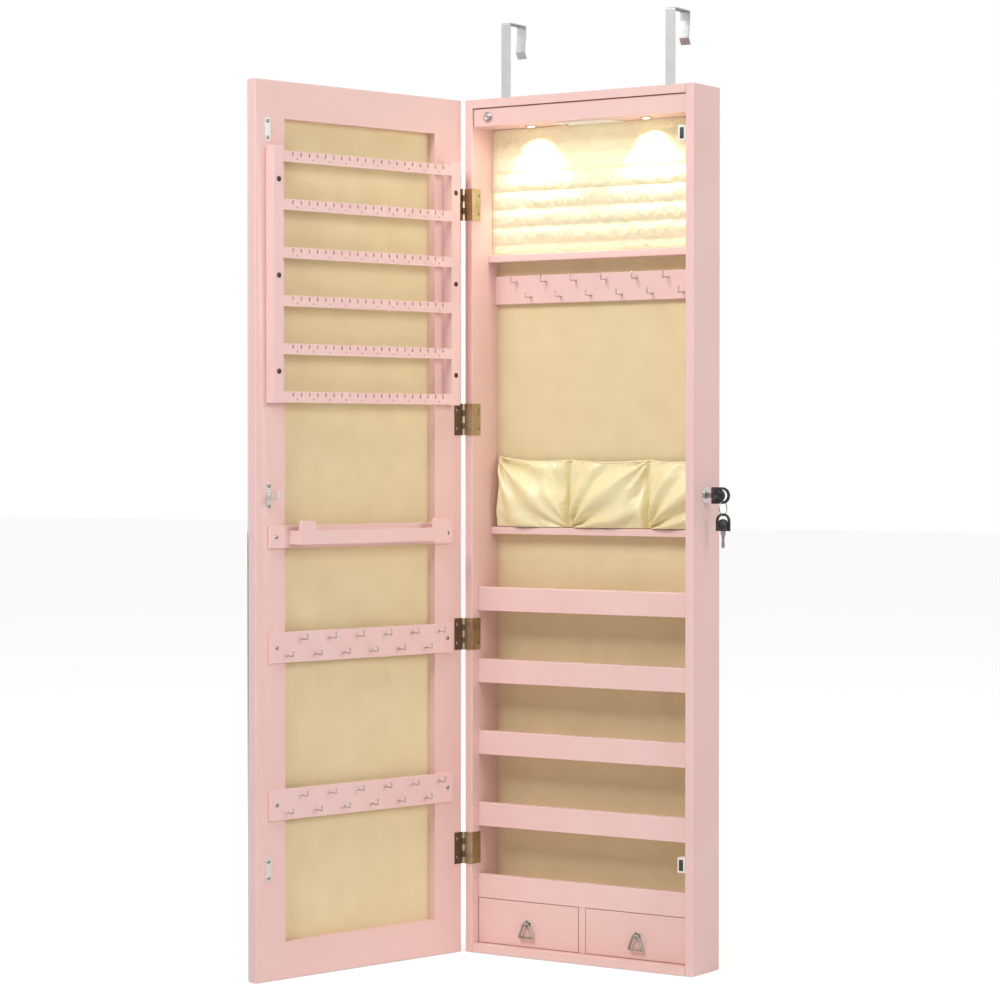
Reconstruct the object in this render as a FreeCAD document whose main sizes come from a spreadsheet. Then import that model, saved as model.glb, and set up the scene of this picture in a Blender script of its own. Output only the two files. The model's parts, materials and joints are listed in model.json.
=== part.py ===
# Jewelry mirror cabinet: a shallow fitted box with a full-length mirror door, hung over a room door.
#
# Frame: the origin is the middle of the rear plane at the bottom edge. +Z is up, the front faces -Y and +X is
# to the right of someone who faces the cabinet. "Out" is the distance in front of the wall, so y = -out.
# The door and its fittings are drawn closed, and stand turned open about the hinge line.
# Sizes are in millimetres and degrees. What is small, round and many is drawn with a few flat sides.

import FreeCAD, Part
import math
import os
import Sketcher
from FreeCAD import Placement, Rotation, Vector
from types import SimpleNamespace

SIZES = [
    # carcass
    ("cab_height", 1200, "height of the carcass"),
    ("cab_width", 370, "width of the carcass"),
    ("cab_depth", 72, "depth of the carcass, without the door"),
    ("panel_t", 12, "thickness of the side, top and bottom boards"),
    ("edge_round", 1.5, "rounding of the boards' front edges"),
    ("rabbet_w", 6, "width of the rabbet that holds the back board"),
    ("back_inset", 1.6, "wall to the back board, where the bracket straps lie"),
    ("back_t", 3, "thickness of the back board"),
    ("lining_t", 1.2, "fabric covered card on the back board"),
    # light box
    ("light_height", 26, "soffit underside to the top panel"),
    ("soffit_t", 6, "thickness of the soffit"),
    ("fascia_t", 9, "thickness of the fascia"),
    ("fascia_inset", 3, "fascia behind the front edges"),
    ("fascia_gap", 1, "gap round the fascia at its top and ends"),
    ("lamp_x", 93.5, "lamps, off the middle"),
    ("lamp_out", 42, "lamps, in front of the wall"),
    ("lamp_r", 9, "radius of a lamp's rim"),
    ("lamp_body_r", 7, "radius of a lamp's body in the soffit"),
    ("lamp_body_len", 15, "height of a lamp's body"),
    ("cover_length", 90, "battery cover, along the cabinet"),
    ("cover_width", 38, "battery cover, front to rear"),
    ("cover_t", 1.8, "thickness of the battery cover"),
    ("cover_x", 1, "battery cover, off the middle"),
    ("cover_out", 40.5, "middle of the battery cover, in front of the wall"),
    ("cover_screw_x", -36, "battery cover's screw, off the cover's middle"),
    ("case_boss_r", 3.2, "radius of the case's screw boss"),
    ("case_wall", 1.2, "wall of the battery case"),
    ("case_height", 13.5, "height of the battery case"),
    ("case_lap", 2, "battery cover past the case"),
    ("cell_r", 5.1, "radius of a cell"),
    ("cell_length", 44.5, "length of a cell"),
    ("cell_count", 3, "number of cells"),
    ("switch_x", -148, "switch, off the middle"),
    ("switch_r", 7.5, "radius of the switch's flange"),
    ("switch_barrel_r", 6, "radius of the switch's barrel"),
    ("switch_bore_r", 4.6, "bore of the switch's barrel"),
    ("switch_flange_t", 1.2, "thickness of the switch's flange"),
    ("switch_barrel_len", 19, "length of the switch's barrel"),
    ("button_clear", 0.08, "play round the button"),
    ("button_proud", 2.4, "button in front of the flange"),
    ("button_length", 13, "length of the button"),
    ("wire_r", 0.7, "radius of the light's wires"),
    ("wire_rise", 2.6, "wires above the soffit"),
    ("wire_out", 28, "switch's wire, in front of the wall"),
    ("wire_bend", 8, "ease of the bend in the switch's wire"),
    # ring cushion and the shelf below it
    ("cushion_low", 984, "height of the cushion's lower end"),
    ("cushion_out", 26, "front of the rolls"),
    ("roll_count", 6, "number of full rolls"),
    ("roll_pitch", 25, "height of a roll"),
    ("roll_crown", 6.5, "rise of a roll above its seams"),
    ("roll_tuck", 7, "width over which the rolls' ends draw in"),
    ("ring_shelf_t", 10, "thickness of the shelf below the cushion"),
    ("ring_shelf_out", 31, "front of the shelf below the cushion"),
    # necklace rail and all hooks
    ("neck_rail_z", 935, "middle of the necklace rail"),
    ("neck_rail_height", 40, "height of the necklace rail"),
    ("neck_rail_t", 8.1, "thickness of the necklace rail"),
    ("hook_count", 12, "hooks on a rail"),
    ("hook_pitch", 24.85, "hook to hook along a rail"),
    ("hook_rows", 21.5, "upper row above the lower row"),
    ("hook_reach", 14, "hook in front of its rail"),
    ("hook_rise", 7, "height of a hook's tip"),
    ("hook_wire_r", 1, "radius of the hooks' wire"),
    ("hook_collar_r", 2.1, "radius of a hook's collar"),
    ("hook_collar_t", 1.6, "thickness of a hook's collar"),
    # pouch and the shelf below it
    ("pouch_low", 599.5, "height of the pouch's lower end"),
    ("pouch_height", 94, "height of the pouch"),
    ("pouch_out", 36, "front of the pouch's bulges"),
    ("pouch_pinch_out", 12, "front of the pouch at its seams"),
    ("pouch_top_out", 31, "front of the pouch at its mouth"),
    ("pouch_foot_out", 27, "front of the pouch at its foot"),
    ("pouch_belly_z", 34, "fullest part of the pouch above its foot"),
    ("pouch_edge", 2, "pouch to the side boards"),
    ("pouch_folds", 4, "gathers along a pocket's front"),
    ("pouch_fold", 1.6, "depth of a gather"),
    ("pouch_cloth", 1.8, "thickness of the pouch's cloth with its lining"),
    ("pouch_seam_left", -46.7, "left seam of the pouch"),
    ("pouch_seam_right", 81.3, "right seam of the pouch"),
    ("pouch_shelf_t", 10, "thickness of the shelf below the pouch"),
    ("pouch_shelf_out", 24.4, "front of the shelf below the pouch"),
    # tiers and drawers
    ("tier_count", 5, "number of tiers"),
    ("tier_low", 76, "height of the lowest tier"),
    ("tier_pitch", 101.5, "tier to tier"),
    ("lip_height", 33.5, "height of a tier's lip"),
    ("lip_t", 9, "thickness of a tier's lip"),
    ("lip_out", 56.6, "front of the lips and of the drawers"),
    ("lip_round", 1, "rounding of a lip's top edge"),
    ("floor_t", 9, "thickness of a tier's floor"),
    ("divider_t", 11, "thickness of the drawers' divider"),
    ("drawer_gap", 0.8, "play round a drawer's front"),
    ("drawer_front_t", 9, "thickness of a drawer's front"),
    ("drawer_wall", 5, "thickness of a drawer's sides and back"),
    ("drawer_floor", 3.2, "thickness of a drawer's floor"),
    ("drawer_side_height", 46, "height of a drawer's sides"),
    ("drawer_back_gap", 2.2, "drawer to the lining"),
    ("drawer_run_gap", 0.1, "play below a drawer"),
    # drawer pulls
    ("pull_z", 45, "pivot of a pull"),
    ("pull_out", 5.4, "pivot of a pull in front of the drawer"),
    ("pull_wire_r", 1.2, "radius of a pull's wire"),
    ("pull_width", 23, "width of a pull"),
    ("pull_height", 23, "height of a pull"),
    ("pull_neck", 9.4, "length of a pull's straight top"),
    ("pull_bend", 1.8, "ease of a pull's corners"),
    ("pull_rose_r", 5.2, "radius of a pull's plate"),
    ("pull_rose_t", 1.2, "thickness of a pull's plate"),
    ("pull_post_r", 2.6, "radius of a pull's post"),
    ("pull_x", 89.5, "pulls, off the middle"),
    ("pull_post_len", 8.2, "length of a pull's post"),
    ("pull_play", 0.1, "play of a pull in its post"),
    # magnetic catches
    ("catch_z_low", 149, "height of the lower catch"),
    ("catch_z_high", 1134, "height of the upper catch"),
    ("catch_width", 12, "width of a catch"),
    ("catch_height", 21, "height of a catch"),
    ("catch_depth", 14, "depth of a catch"),
    ("catch_gap", 0.5, "closed catch to its strike plate"),
    ("magnet_width", 6, "width of a magnet"),
    ("magnet_height", 15, "height of a magnet"),
    ("magnet_depth", 8, "depth of a magnet"),
    ("magnet_proud", 0.9, "magnet in front of its housing"),
    ("strike_width", 10, "width of a strike plate"),
    ("strike_height", 33, "height of a strike plate"),
    ("strike_t", 1.2, "thickness of a strike plate"),
    ("strike_x", 164.5, "strike plates, off the middle"),
    # hinges
    ("hinge_low", 147, "height of the lowest hinge"),
    ("hinge_pitch", 302.2, "hinge to hinge"),
    ("hinge_count", 4, "number of hinges"),
    ("hinge_height", 44.5, "height of a hinge"),
    ("hinge_gap", 2, "carcass to the closed door"),
    ("hinge_side", 2.6, "hinge line past the side board"),
    ("knuckle_r", 2.6, "outer radius of a knuckle"),
    ("pin_r", 1, "radius of a hinge pin"),
    ("pin_play", 0.05, "play of a pin in the carcass's knuckles"),
    ("knuckle_gap", 0.3, "knuckle to knuckle"),
    ("leaf_t", 0.9, "thickness of a leaf"),
    ("leaf_inside", 20, "inner limb of a carcass leaf"),
    ("door_leaf_width", 14.7, "width of a door leaf past its knuckles"),
    # door
    ("door_open", 103, "angle at which the door stands open"),
    ("frame_width", 50, "width of the door's rails and stiles"),
    ("frame_t", 15, "thickness of the door's frame"),
    ("mirror_t", 3, "thickness of the mirror"),
    ("door_lining_t", 1.5, "fabric covered card behind the mirror"),
    # earring rack
    ("post_x", 158.8, "rack posts, off the middle"),
    ("post_width", 15.5, "width of a rack post"),
    ("post_depth", 17.5, "depth of a rack post"),
    ("post_low", 771, "height of the posts' lower ends"),
    ("post_length", 341, "length of a rack post"),
    ("post_round", 1.5, "rounding of the posts' ends"),
    ("bar_count", 6, "number of earring bars"),
    ("bar_low", 771.7, "height of the lowest bar"),
    ("bar_pitch", 63.9, "bar to bar"),
    ("bar_height", 14.5, "height of a bar"),
    ("bar_t", 5, "thickness of a bar"),
    ("slot_count", 20, "slots in a bar"),
    ("slot_pitch", 14.16, "slot to slot"),
    ("slot_width", 2, "width of a slot"),
    ("slot_height", 5, "height of a slot"),
    ("slot_down", 1.5, "slot below the bar's top edge"),
    ("dot_r", 1.2, "radius of the round holes"),
    ("dot_down", 10.3, "round holes below the bar's top edge"),
    # bracelet holder
    ("brace_z", 592.5, "middle of the bracelet holder's board"),
    ("brace_length", 328, "length of the bracelet holder's board"),
    ("brace_height", 30, "height of the bracelet holder's board"),
    ("rail_t", 5.5, "thickness of the boards on the door"),
    ("brace_bar_length", 262, "length of the bracelet bar"),
    ("brace_bar_low", 582.5, "lower edge of the bracelet bar"),
    ("brace_bar_height", 18.5, "height of the bracelet bar"),
    ("brace_bar_t", 6, "thickness of the bracelet bar"),
    ("brace_reach", 31, "front of the bracelet bar off the door"),
    ("brace_tip_width", 24, "width of the bar's upturned ends"),
    ("brace_tip_height", 13, "rise of the bar's upturned ends"),
    ("brace_arm_t", 6, "thickness of the bracelet holder's arms"),
    ("brace_round", 4, "rounding of the upturned ends"),
    # hook rails of the door
    ("door_rail_z_low", 235, "middle of the lower hook rail"),
    ("door_rail_pitch", 210, "upper hook rail above the lower one"),
    ("door_rail_count", 2, "number of hook rails"),
    ("door_rail_length", 327, "length of a hook rail"),
    ("door_rail_height", 41, "height of a hook rail"),
    # lock
    ("lock_out", 39.2, "lock, in front of the wall"),
    ("lock_z", 647.2, "height of the lock"),
    ("lock_flange_r", 11, "radius of the lock's flange"),
    ("lock_flange_t", 2, "thickness of the lock's flange"),
    ("lock_barrel_r", 8.5, "radius of the lock's barrel"),
    ("lock_barrel_past", 6, "barrel past the side board's inner face"),
    ("lock_bore_play", 0.1, "play of the barrel in its board"),
    ("lock_nut_r", 12, "radius of the lock's nut"),
    ("lock_nut_t", 3, "thickness of the lock's nut"),
    ("plug_r", 5.5, "radius of the plug"),
    ("plug_play", 0.06, "play round the plug"),
    ("plug_proud", 0.6, "plug in front of the flange"),
    ("plug_tenon_r", 3, "radius of the plug's tenon in the cam"),
    ("keyway_length", 13, "depth of the keyway"),
    ("cam_gap", 0.5, "cam to the barrel"),
    ("cam_t", 2, "thickness of the cam"),
    ("cam_hub_r", 6, "radius of the cam's hub"),
    ("cam_hook_in_r", 12.6, "inner radius of the cam's hook"),
    ("cam_hook_out_r", 17.5, "outer radius of the cam's hook"),
    ("cam_arm_w", 6, "width of the cam's arm"),
    ("cam_hook_lead", -28, "locked: lower end of the hook, from the door's direction"),
    ("cam_hook_trail", 62, "locked: upper end of the hook"),
    ("cam_arm_angle", 56, "locked: angle of the arm"),
    ("cam_throw", 90, "turn from locked to unlocked"),
    ("cam_screw_r", 4.2, "radius of the cam screw's head"),
    ("cam_screw_t", 1.4, "height of the cam screw's head"),
    # keeper on the door
    ("keeper_t", 1.2, "thickness of the keeper"),
    ("keeper_height", 35, "height of the keeper's plate"),
    ("keeper_width", 7, "width of the keeper's plate"),
    ("keeper_tab_gap", 0.8, "keeper's tab to the cam"),
    ("keeper_tab_length", 25, "length of the keeper's tab"),
    ("keeper_tab_height", 11, "height of the keeper's tab"),
    ("keeper_lip", 3.2, "width of the lip at the tab's end"),
    # keys
    ("blade_width", 7, "width of a key's blade"),
    ("blade_t", 2, "thickness of a key's blade"),
    ("blade_play", 0.1, "play of the blade in the keyway"),
    ("blade_out", 8, "blade between the plug and the bow"),
    ("bow_r", 11.2, "radius of the key's bow"),
    ("bow_neck", 5, "length of the bow's neck"),
    ("bow_neck_w", 9, "width of the bow's neck"),
    ("bow_t", 3.2, "thickness of the bow"),
    ("bow_rim", 3.2, "width of the bow's rim"),
    ("bow_round", 1.2, "rounding of the bow's edges"),
    ("bow_web_x", -1.4, "bow's web, off the bow's middle"),
    ("ring_x", 1.2, "key ring, off the bow's middle"),
    ("ring_r", 10.2, "radius of the key ring at its wire's middle"),
    ("ring_wire_r", 0.7, "radius of the key ring's wire"),
    ("ring_play", 0.25, "key ring to the rim it hangs on"),
    ("spare_bow_w", 21.5, "width of the spare key's bow"),
    ("spare_bow_h", 24, "height of the spare key's bow"),
    ("spare_bow_round", 7, "rounding of the spare key's bow"),
    ("spare_t", 2, "thickness of the spare key"),
    ("spare_hole_r", 2.6, "hole of the spare key"),
    ("spare_hole_down", 5.4, "hole below the top of the spare key"),
    ("spare_blade", 23, "length of the spare key's blade"),
    ("spare_blade_w", 7, "width of the spare key's blade"),
    ("spare_play", 0.15, "spare key to the ring"),
    # hanging brackets
    ("strap_x_left", -163, "left bracket, off the middle"),
    ("strap_x_right", 107.7, "right bracket, off the middle"),
    ("strap_width", 15, "width of a bracket's strap"),
    ("strap_t", 1.5, "thickness of a bracket's strap"),
    ("strap_low", 1120, "lower end of a strap"),
    ("strap_top", 1316, "top of a strap"),
    ("strap_throat", 39, "room door that a bracket takes"),
    ("strap_rear", 47, "length of a bracket's rear leg"),
    ("strap_bend", 14, "top of the rear leg to where it turns in"),
    ("strap_pinch", 3.5, "rear leg's inward bend"),
    ("strap_lip", 9, "height of the lip at the rear leg's end"),
    ("strap_lip_out", 2, "lip past the rear leg's plane"),
    ("strap_bend_r", 3, "outer radius of a strap's bends"),
    ("notch_play", 0.2, "play of a strap in the top board's notch"),
    # screws
    ("screw_head_r", 2.7, "radius of a screw's head"),
    ("screw_head_t", 0.9, "height of a screw's head"),
    ("screw_shank_r", 1.2, "radius of a screw's shank"),
    ("screw_bite", 3.6, "screw in the board that holds it"),
    ("screw_play", 0.05, "play round a screw"),
    ("hinge_screws", 26, "screw to screw on a hinge leaf"),
    ("leaf_screw_out", 57, "screws of a carcass leaf, in front of the wall"),
    ("leaf_screw_side", 8, "screws of a door leaf, off the door's edge"),
    ("rail_screw_end", 10, "screws of the door's boards, off their ends"),
    ("post_screw_count", 3, "screws in a rack post"),
    ("post_screw_low", 812.9, "lowest screw of a rack post"),
    ("post_screw_pitch", 127.3, "screw to screw in a rack post"),
    ("strike_screws", 22, "screw to screw on a strike plate"),
    ("keeper_screws", 27, "screw to screw on the keeper"),
    ("strap_screw_low", 1130, "lower screw of a strap"),
    ("strap_screw_high", 1197, "upper screw of a strap"),
]


class Size:
    """A driving dimension, or a sum worked out from some: its number, and its formula in the sheet's names."""

    def __init__(self, number, formula):
        self.number = float(number)
        self.formula = formula

    def __add__(self, other):
        other = as_size(other)
        return Size(self.number + other.number, f"({self.formula} + {other.formula})")

    def __sub__(self, other):
        other = as_size(other)
        return Size(self.number - other.number, f"({self.formula} - {other.formula})")

    def __mul__(self, other):
        other = as_size(other)
        return Size(self.number * other.number, f"({self.formula} * {other.formula})")

    def __truediv__(self, other):
        other = as_size(other)
        return Size(self.number / other.number, f"({self.formula} / {other.formula})")

    def __neg__(self):
        return Size(-self.number, f"(0 - {self.formula})")

    def __radd__(self, other):
        return as_size(other) + self

    def __rsub__(self, other):
        return as_size(other) - self

    def __rmul__(self, other):
        return as_size(other) * self


def as_size(value):
    if isinstance(value, Size):
        return value
    return Size(value, f"({value:.12g})")


# %% document and spreadsheet

doc = FreeCAD.newDocument("JewelryMirrorCabinet")
sheet = doc.addObject("Spreadsheet::Sheet", "Dims")
d = SimpleNamespace()
for row, (size_name, size_value, size_note) in enumerate(SIZES, start=1):
    sheet.set(f"A{row}", size_note)
    sheet.set(f"B{row}", str(size_value))
    sheet.setAlias(f"B{row}", size_name)
    setattr(d, size_name, Size(size_value, f"Dims.{size_name}"))
doc.recompute()

PARTS = []


# %% helpers


def bind(item, prop, value):
    item.setExpression(prop, as_size(value).formula)


def body(label):
    item = doc.addObject("PartDesign::Body", label)
    item.Label = label
    PARTS.append(item)
    return item


def group(label, shapes):
    """A node of separate solids."""
    item = doc.addObject("Part::Feature", label)
    item.Label = label
    item.Shape = Part.makeCompound(shapes)
    PARTS.append(item)
    return item


def origin_part(item, role):
    return next(f for f in item.Origin.OriginFeatures if f.Role == role)


def sketch(item, role, lift=0, across=0, up=0):
    """A sketch on an origin plane, lifted off it and moved within it.

    XY_Plane reads (x, y) and rises along +Z. XZ_Plane reads (x, z) and rises along -Y, so its lift is "out".
    YZ_Plane reads (y, z) and rises along +X.
    """
    made = item.newObject("Sketcher::SketchObject", f"{item.Label}_outline")
    made.AttachmentSupport = [(origin_part(item, role), "")]
    made.MapMode = "FlatFace"
    bind(made, "AttachmentOffset.Base.x", across)
    bind(made, "AttachmentOffset.Base.y", up)
    bind(made, "AttachmentOffset.Base.z", lift)
    return made


def tie(made, kind, edge, point, value):
    value = as_size(value)
    index = made.addConstraint(Sketcher.Constraint(kind, -1, 1, edge, point, value.number))
    made.setExpression(f"Constraints[{index}]", value.formula)


def outline(made, corners):
    """A closed outline of straight lines, with every corner tied to its two sizes."""
    corners = [(as_size(a), as_size(b)) for a, b in corners]
    first = made.GeometryCount
    count = len(corners)
    for start, end in zip(corners, corners[1:] + corners[:1]):
        begin = Vector(start[0].number, start[1].number, 0)
        finish = Vector(end[0].number, end[1].number, 0)
        made.addGeometry(Part.LineSegment(begin, finish))
    for i, corner in enumerate(corners):
        made.addConstraint(Sketcher.Constraint("Coincident", first + i, 2, first + (i + 1) % count, 1))
        tie(made, "DistanceX", first + i, 1, corner[0])
        tie(made, "DistanceY", first + i, 1, corner[1])
    return made


def rectangle(made, a0, a1, b0, b1):
    return outline(made, [(a0, b0), (a1, b0), (a1, b1), (a0, b1)])


def circle(made, across, up, radius):
    across, up, radius = as_size(across), as_size(up), as_size(radius)
    centre = Vector(across.number, up.number, 0)
    edge = made.addGeometry(Part.Circle(centre, Vector(0, 0, 1), radius.number))
    tie(made, "DistanceX", edge, 3, across)
    tie(made, "DistanceY", edge, 3, up)
    index = made.addConstraint(Sketcher.Constraint("Radius", edge, radius.number))
    made.setExpression(f"Constraints[{index}]", radius.formula)
    return made


def ngon(made, across, up, radius, sides, round_hole=False):
    """A regular outline inside a circle, or just outside it where something round turns in it."""
    reach = as_size(radius)
    if round_hole:
        reach = reach / math.cos(math.pi / sides)
    turns = [2 * math.pi * (k + 0.5) / sides for k in range(sides)]
    return outline(made, [(across + reach * math.cos(a), up + reach * math.sin(a)) for a in turns])


def pad(item, made, length):
    feature = item.newObject("PartDesign::Pad", "Pad")
    feature.Profile = made
    bind(feature, "Length", length)
    return feature


def pocket(item, made, length):
    """Cuts from the sketch along its normal."""
    feature = item.newObject("PartDesign::Pocket", "Pocket")
    feature.Profile = made
    feature.Reversed = True
    bind(feature, "Length", length)
    return feature


def pattern(item, originals, role, pitch, count, role2=None, pitch2=None, count2=None):
    feature = item.newObject("PartDesign::LinearPattern", "Pattern")
    feature.Originals = originals
    feature.Direction = (origin_part(item, role), [""])
    feature.Mode = "Spacing"
    bind(feature, "Offset", pitch)
    bind(feature, "Occurrences", count)
    if role2:
        feature.Direction2 = (origin_part(item, role2), [""])
        feature.Mode2 = "Spacing"
        bind(feature, "Offset2", pitch2)
        bind(feature, "Occurrences2", count2)
        doc.recompute()
        feature.Spacings2 = [-1.0] * len(feature.Spacings2)
    item.Tip = feature
    return feature


def edges_where(shape, test):
    """Names of the edges whose two ends and middle all pass the test."""
    names = []
    for number, edge in enumerate(shape.Edges, start=1):
        middle = edge.valueAt((edge.FirstParameter + edge.LastParameter) / 2)
        points = [v.Point for v in edge.Vertexes] + [middle]
        if all(test(p) for p in points):
            names.append(f"Edge{number}")
    return names


def fillet(item, radius, test):
    doc.recompute()
    base = item.Tip
    feature = item.newObject("PartDesign::Fillet", "Fillet")
    feature.Base = (base, edges_where(base.Shape, test))
    bind(feature, "Radius", radius)
    return feature


def chamfer(item, size, test):
    doc.recompute()
    base = item.Tip
    feature = item.newObject("PartDesign::Chamfer", "Chamfer")
    feature.Base = (base, edges_where(base.Shape, test))
    bind(feature, "Size", size)
    return feature


def near(a, b):
    return abs(a - as_size(b).number) < 1e-4


def board(label, x0, x1, z0, z1, out0, out1):
    """A plain board: its left, right, lower and upper edges, and its rear and front faces."""
    item = body(label)
    front_view = rectangle(sketch(item, "XZ_Plane", out0), x0, x1, z0, z1)
    pad(item, front_view, out1 - out0)
    return item


def holes(item, role, lift, depth, radius, sides, centres):
    made = sketch(item, role, lift)
    for across, up in centres:
        ngon(made, across, up, radius, sides)
    return pocket(item, made, depth)


def ring(item, role, lift, length, centre, radius, sides, bore=None, bore_sides=0, round_hole=False):
    """A straight-sided disc or post, bored where a bore is given."""
    made = ngon(sketch(item, role, lift), centre[0], centre[1], radius, sides)
    if bore is not None:
        ngon(made, centre[0], centre[1], bore, bore_sides, round_hole)
    return pad(item, made, length)


# %% sizes that several pieces share

half_out = d.cab_width / 2
half_in = half_out - d.panel_t
top_in = d.cab_height - d.panel_t
soffit_low = top_in - d.light_height
soffit_high = soffit_low + d.soffit_t
lining_rear = d.back_inset + d.back_t
lining_out = lining_rear + d.lining_t
fascia_out = d.cab_depth - d.fascia_inset
fascia_rear = fascia_out - d.fascia_t
switch_z = (soffit_low + top_in) / 2

door_out = d.cab_depth + d.hinge_gap
door_face = door_out + d.frame_t
hinge_x = -(half_out + d.hinge_side)
hinge_out = d.cab_depth + d.hinge_gap / 2
rail_out = door_out - d.rail_t
post_out = door_out - d.post_depth

head_hole_r = d.screw_head_r + d.screw_play
shank_hole_r = d.screw_shank_r + d.screw_play

HEAD_SIDES = 8
SHANK_SIDES = 4
WIRE_SIDES = 6
POST_SIDES = 12
RIM_SIDES = 24
ROLL_FACES = 3

RIGHT = Vector(1, 0, 0)


# how a screw stands whose head looks along a direction, with its flats in line with its hole's
TO_REAR = Rotation(Vector(1, 0, 0), -90)
TO_RIGHT = Rotation(Vector(0, 1, 0), 90)
TO_FLOOR = Rotation(Vector(1, 0, 0), 180)


def prism(radius, sides, low, high):
    """A straight-sided post about the Z axis."""
    turns = [2 * math.pi * (k + 0.5) / sides for k in range(sides + 1)]
    corners = [Vector(radius * math.cos(a), radius * math.sin(a), low) for a in turns[:-1]]
    return Part.Face(Part.makePolygon(corners + corners[:1])).extrude(Vector(0, 0, high - low))


def screw(x, out, z, stand, through=0):
    """A screw whose head sits on a surface point, through a piece and into the next."""
    length = (as_size(through) + d.screw_bite).number
    head = prism(d.screw_head_r.number, HEAD_SIDES, 0, d.screw_head_t.number)
    made = head.fuse(prism(d.screw_shank_r.number, SHANK_SIDES, -length, 0)).removeSplitter()
    made.Placement = Placement(Vector(as_size(x).number, -as_size(out).number, as_size(z).number), stand)
    return made


def eased(corners, ease):
    """A route whose inner corners are each cut off by a short run, as a bent wire's are."""
    route = [corners[0]]
    for before, corner, after in zip(corners, corners[1:], corners[2:]):
        route.append(corner + (before - corner).normalize() * ease)
        route.append(corner + (after - corner).normalize() * ease)
    return route + [corners[-1]]


def wire_along(route, radius, closed=False):
    """A solid wire with a few flat sides, mitred at each point of its route."""
    stops = route + route[:1] if closed else route
    ways = [(after - before).normalize() for before, after in zip(stops, stops[1:])]
    turns = [2 * math.pi * k / WIRE_SIDES for k in range(WIRE_SIDES)]
    stand = Rotation(Vector(0, 0, 1), ways[0])
    rim = [route[0] + stand.multVec(Vector(radius * math.cos(a), radius * math.sin(a), 0)) for a in turns]

    def slid(points, way, corner, normal):
        """The points moved along the wire onto the plane of a joint."""
        return [p + way * ((corner - p).dot(normal) / way.dot(normal)) for p in points]

    first_normal = ways[0] + ways[-1] if closed else ways[0]
    rims = [slid(rim, ways[0], stops[0], first_normal)]
    after_ways = ways[1:] + [ways[0] if closed else ways[-1]]
    for way, after, corner in zip(ways, after_ways, stops[1:]):
        rims.append(slid(rims[-1], way, corner, way + after))
    faces = []
    for low, high in zip(rims, rims[1:]):
        for i in range(WIRE_SIDES):
            j = (i + 1) % WIRE_SIDES
            faces.append(Part.Face(Part.makePolygon([low[i], low[j], high[j], high[i], low[i]])))
    if not closed:
        faces += [Part.Face(Part.makePolygon(end + end[:1])) for end in (rims[0], rims[-1])]
    shell = Part.makeShell(faces)
    shell.sewShape()
    made = Part.makeSolid(shell)
    if made.Volume < 0:
        made.reverse()
    return made


# %% carcass


def side_panel(label, side):
    item = body(label)
    plan = sketch(item, "XY_Plane")
    rectangle(plan, side * half_in, side * half_out, -d.cab_depth, 0)
    pad(item, plan, d.cab_height)
    rabbet_low = d.panel_t - d.rabbet_w
    rabbet = sketch(item, "XZ_Plane")
    rectangle(rabbet, side * half_in, side * (half_in + d.rabbet_w), rabbet_low, d.cab_height - rabbet_low)
    pocket(item, rabbet, lining_rear)

    def on_front_corner(p):
        return near(p.y, -d.cab_depth) and (near(abs(p.x), half_in) or near(abs(p.x), half_out))

    fillet(item, d.edge_round, on_front_corner)
    return item


def cross_panel(label, low, rabbet_low):
    item = board(label, -half_in, half_in, low, low + d.panel_t, 0, d.cab_depth)
    rabbet = sketch(item, "XZ_Plane")
    rectangle(rabbet, -half_in, half_in, rabbet_low, rabbet_low + d.rabbet_w)
    pocket(item, rabbet, lining_rear)
    return item


side_panel_left = side_panel("side_panel_left", -1)
side_panel_right = side_panel("side_panel_right", 1)
top_panel = cross_panel("top_panel", top_in, top_in)
bottom_panel = cross_panel("bottom_panel", as_size(0), d.panel_t - d.rabbet_w)

back_half = half_in + d.rabbet_w
back_low = d.panel_t - d.rabbet_w
back_board = board("back_board", -back_half, back_half, back_low, d.cab_height - back_low, d.back_inset, lining_rear)
back_lining = board("back_lining", -half_in, half_in, d.panel_t, top_in, lining_rear, lining_out)


# %% light box


def light_fascia():
    fascia_half = half_in - d.fascia_gap
    item = board("light_fascia", -fascia_half, fascia_half, soffit_low, top_in - d.fascia_gap, fascia_rear, fascia_out)
    bore_r = d.switch_barrel_r + d.button_clear
    holes(item, "XZ_Plane", fascia_rear, d.fascia_t, bore_r, POST_SIDES, [(d.switch_x, switch_z)])


case_half = d.cover_length / 2 - d.case_lap
case_rear = d.cover_out - d.cover_width / 2 + d.case_lap
case_front = d.cover_out + d.cover_width / 2 - d.case_lap
case_high = soffit_low + d.case_height
cover_screw_x = d.cover_x + d.cover_screw_x


def light_soffit():
    item = board("light_soffit", -half_in, half_in, soffit_low, soffit_high, lining_out, fascia_rear)
    lamps = [(-d.lamp_x, -d.lamp_out), (d.lamp_x, -d.lamp_out)]
    holes(item, "XY_Plane", soffit_low, d.soffit_t, d.lamp_body_r + d.screw_play, POST_SIDES, lamps)
    opening = sketch(item, "XY_Plane", soffit_low)
    rectangle(opening, d.cover_x - case_half, d.cover_x + case_half, -case_front, -case_rear)
    pocket(item, opening, d.soffit_t)


def spot_lamps():
    item = body("spot_lamps")
    centre = (-d.lamp_x, -d.lamp_out)
    rim = ring(item, "XY_Plane", soffit_low - d.cover_t, d.cover_t, centre, d.lamp_r, RIM_SIDES)
    lamp = ring(item, "XY_Plane", soffit_low, d.lamp_body_len, centre, d.lamp_body_r, POST_SIDES)
    pattern(item, [rim, lamp], "X_Axis", 2 * d.lamp_x, 2)


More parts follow.
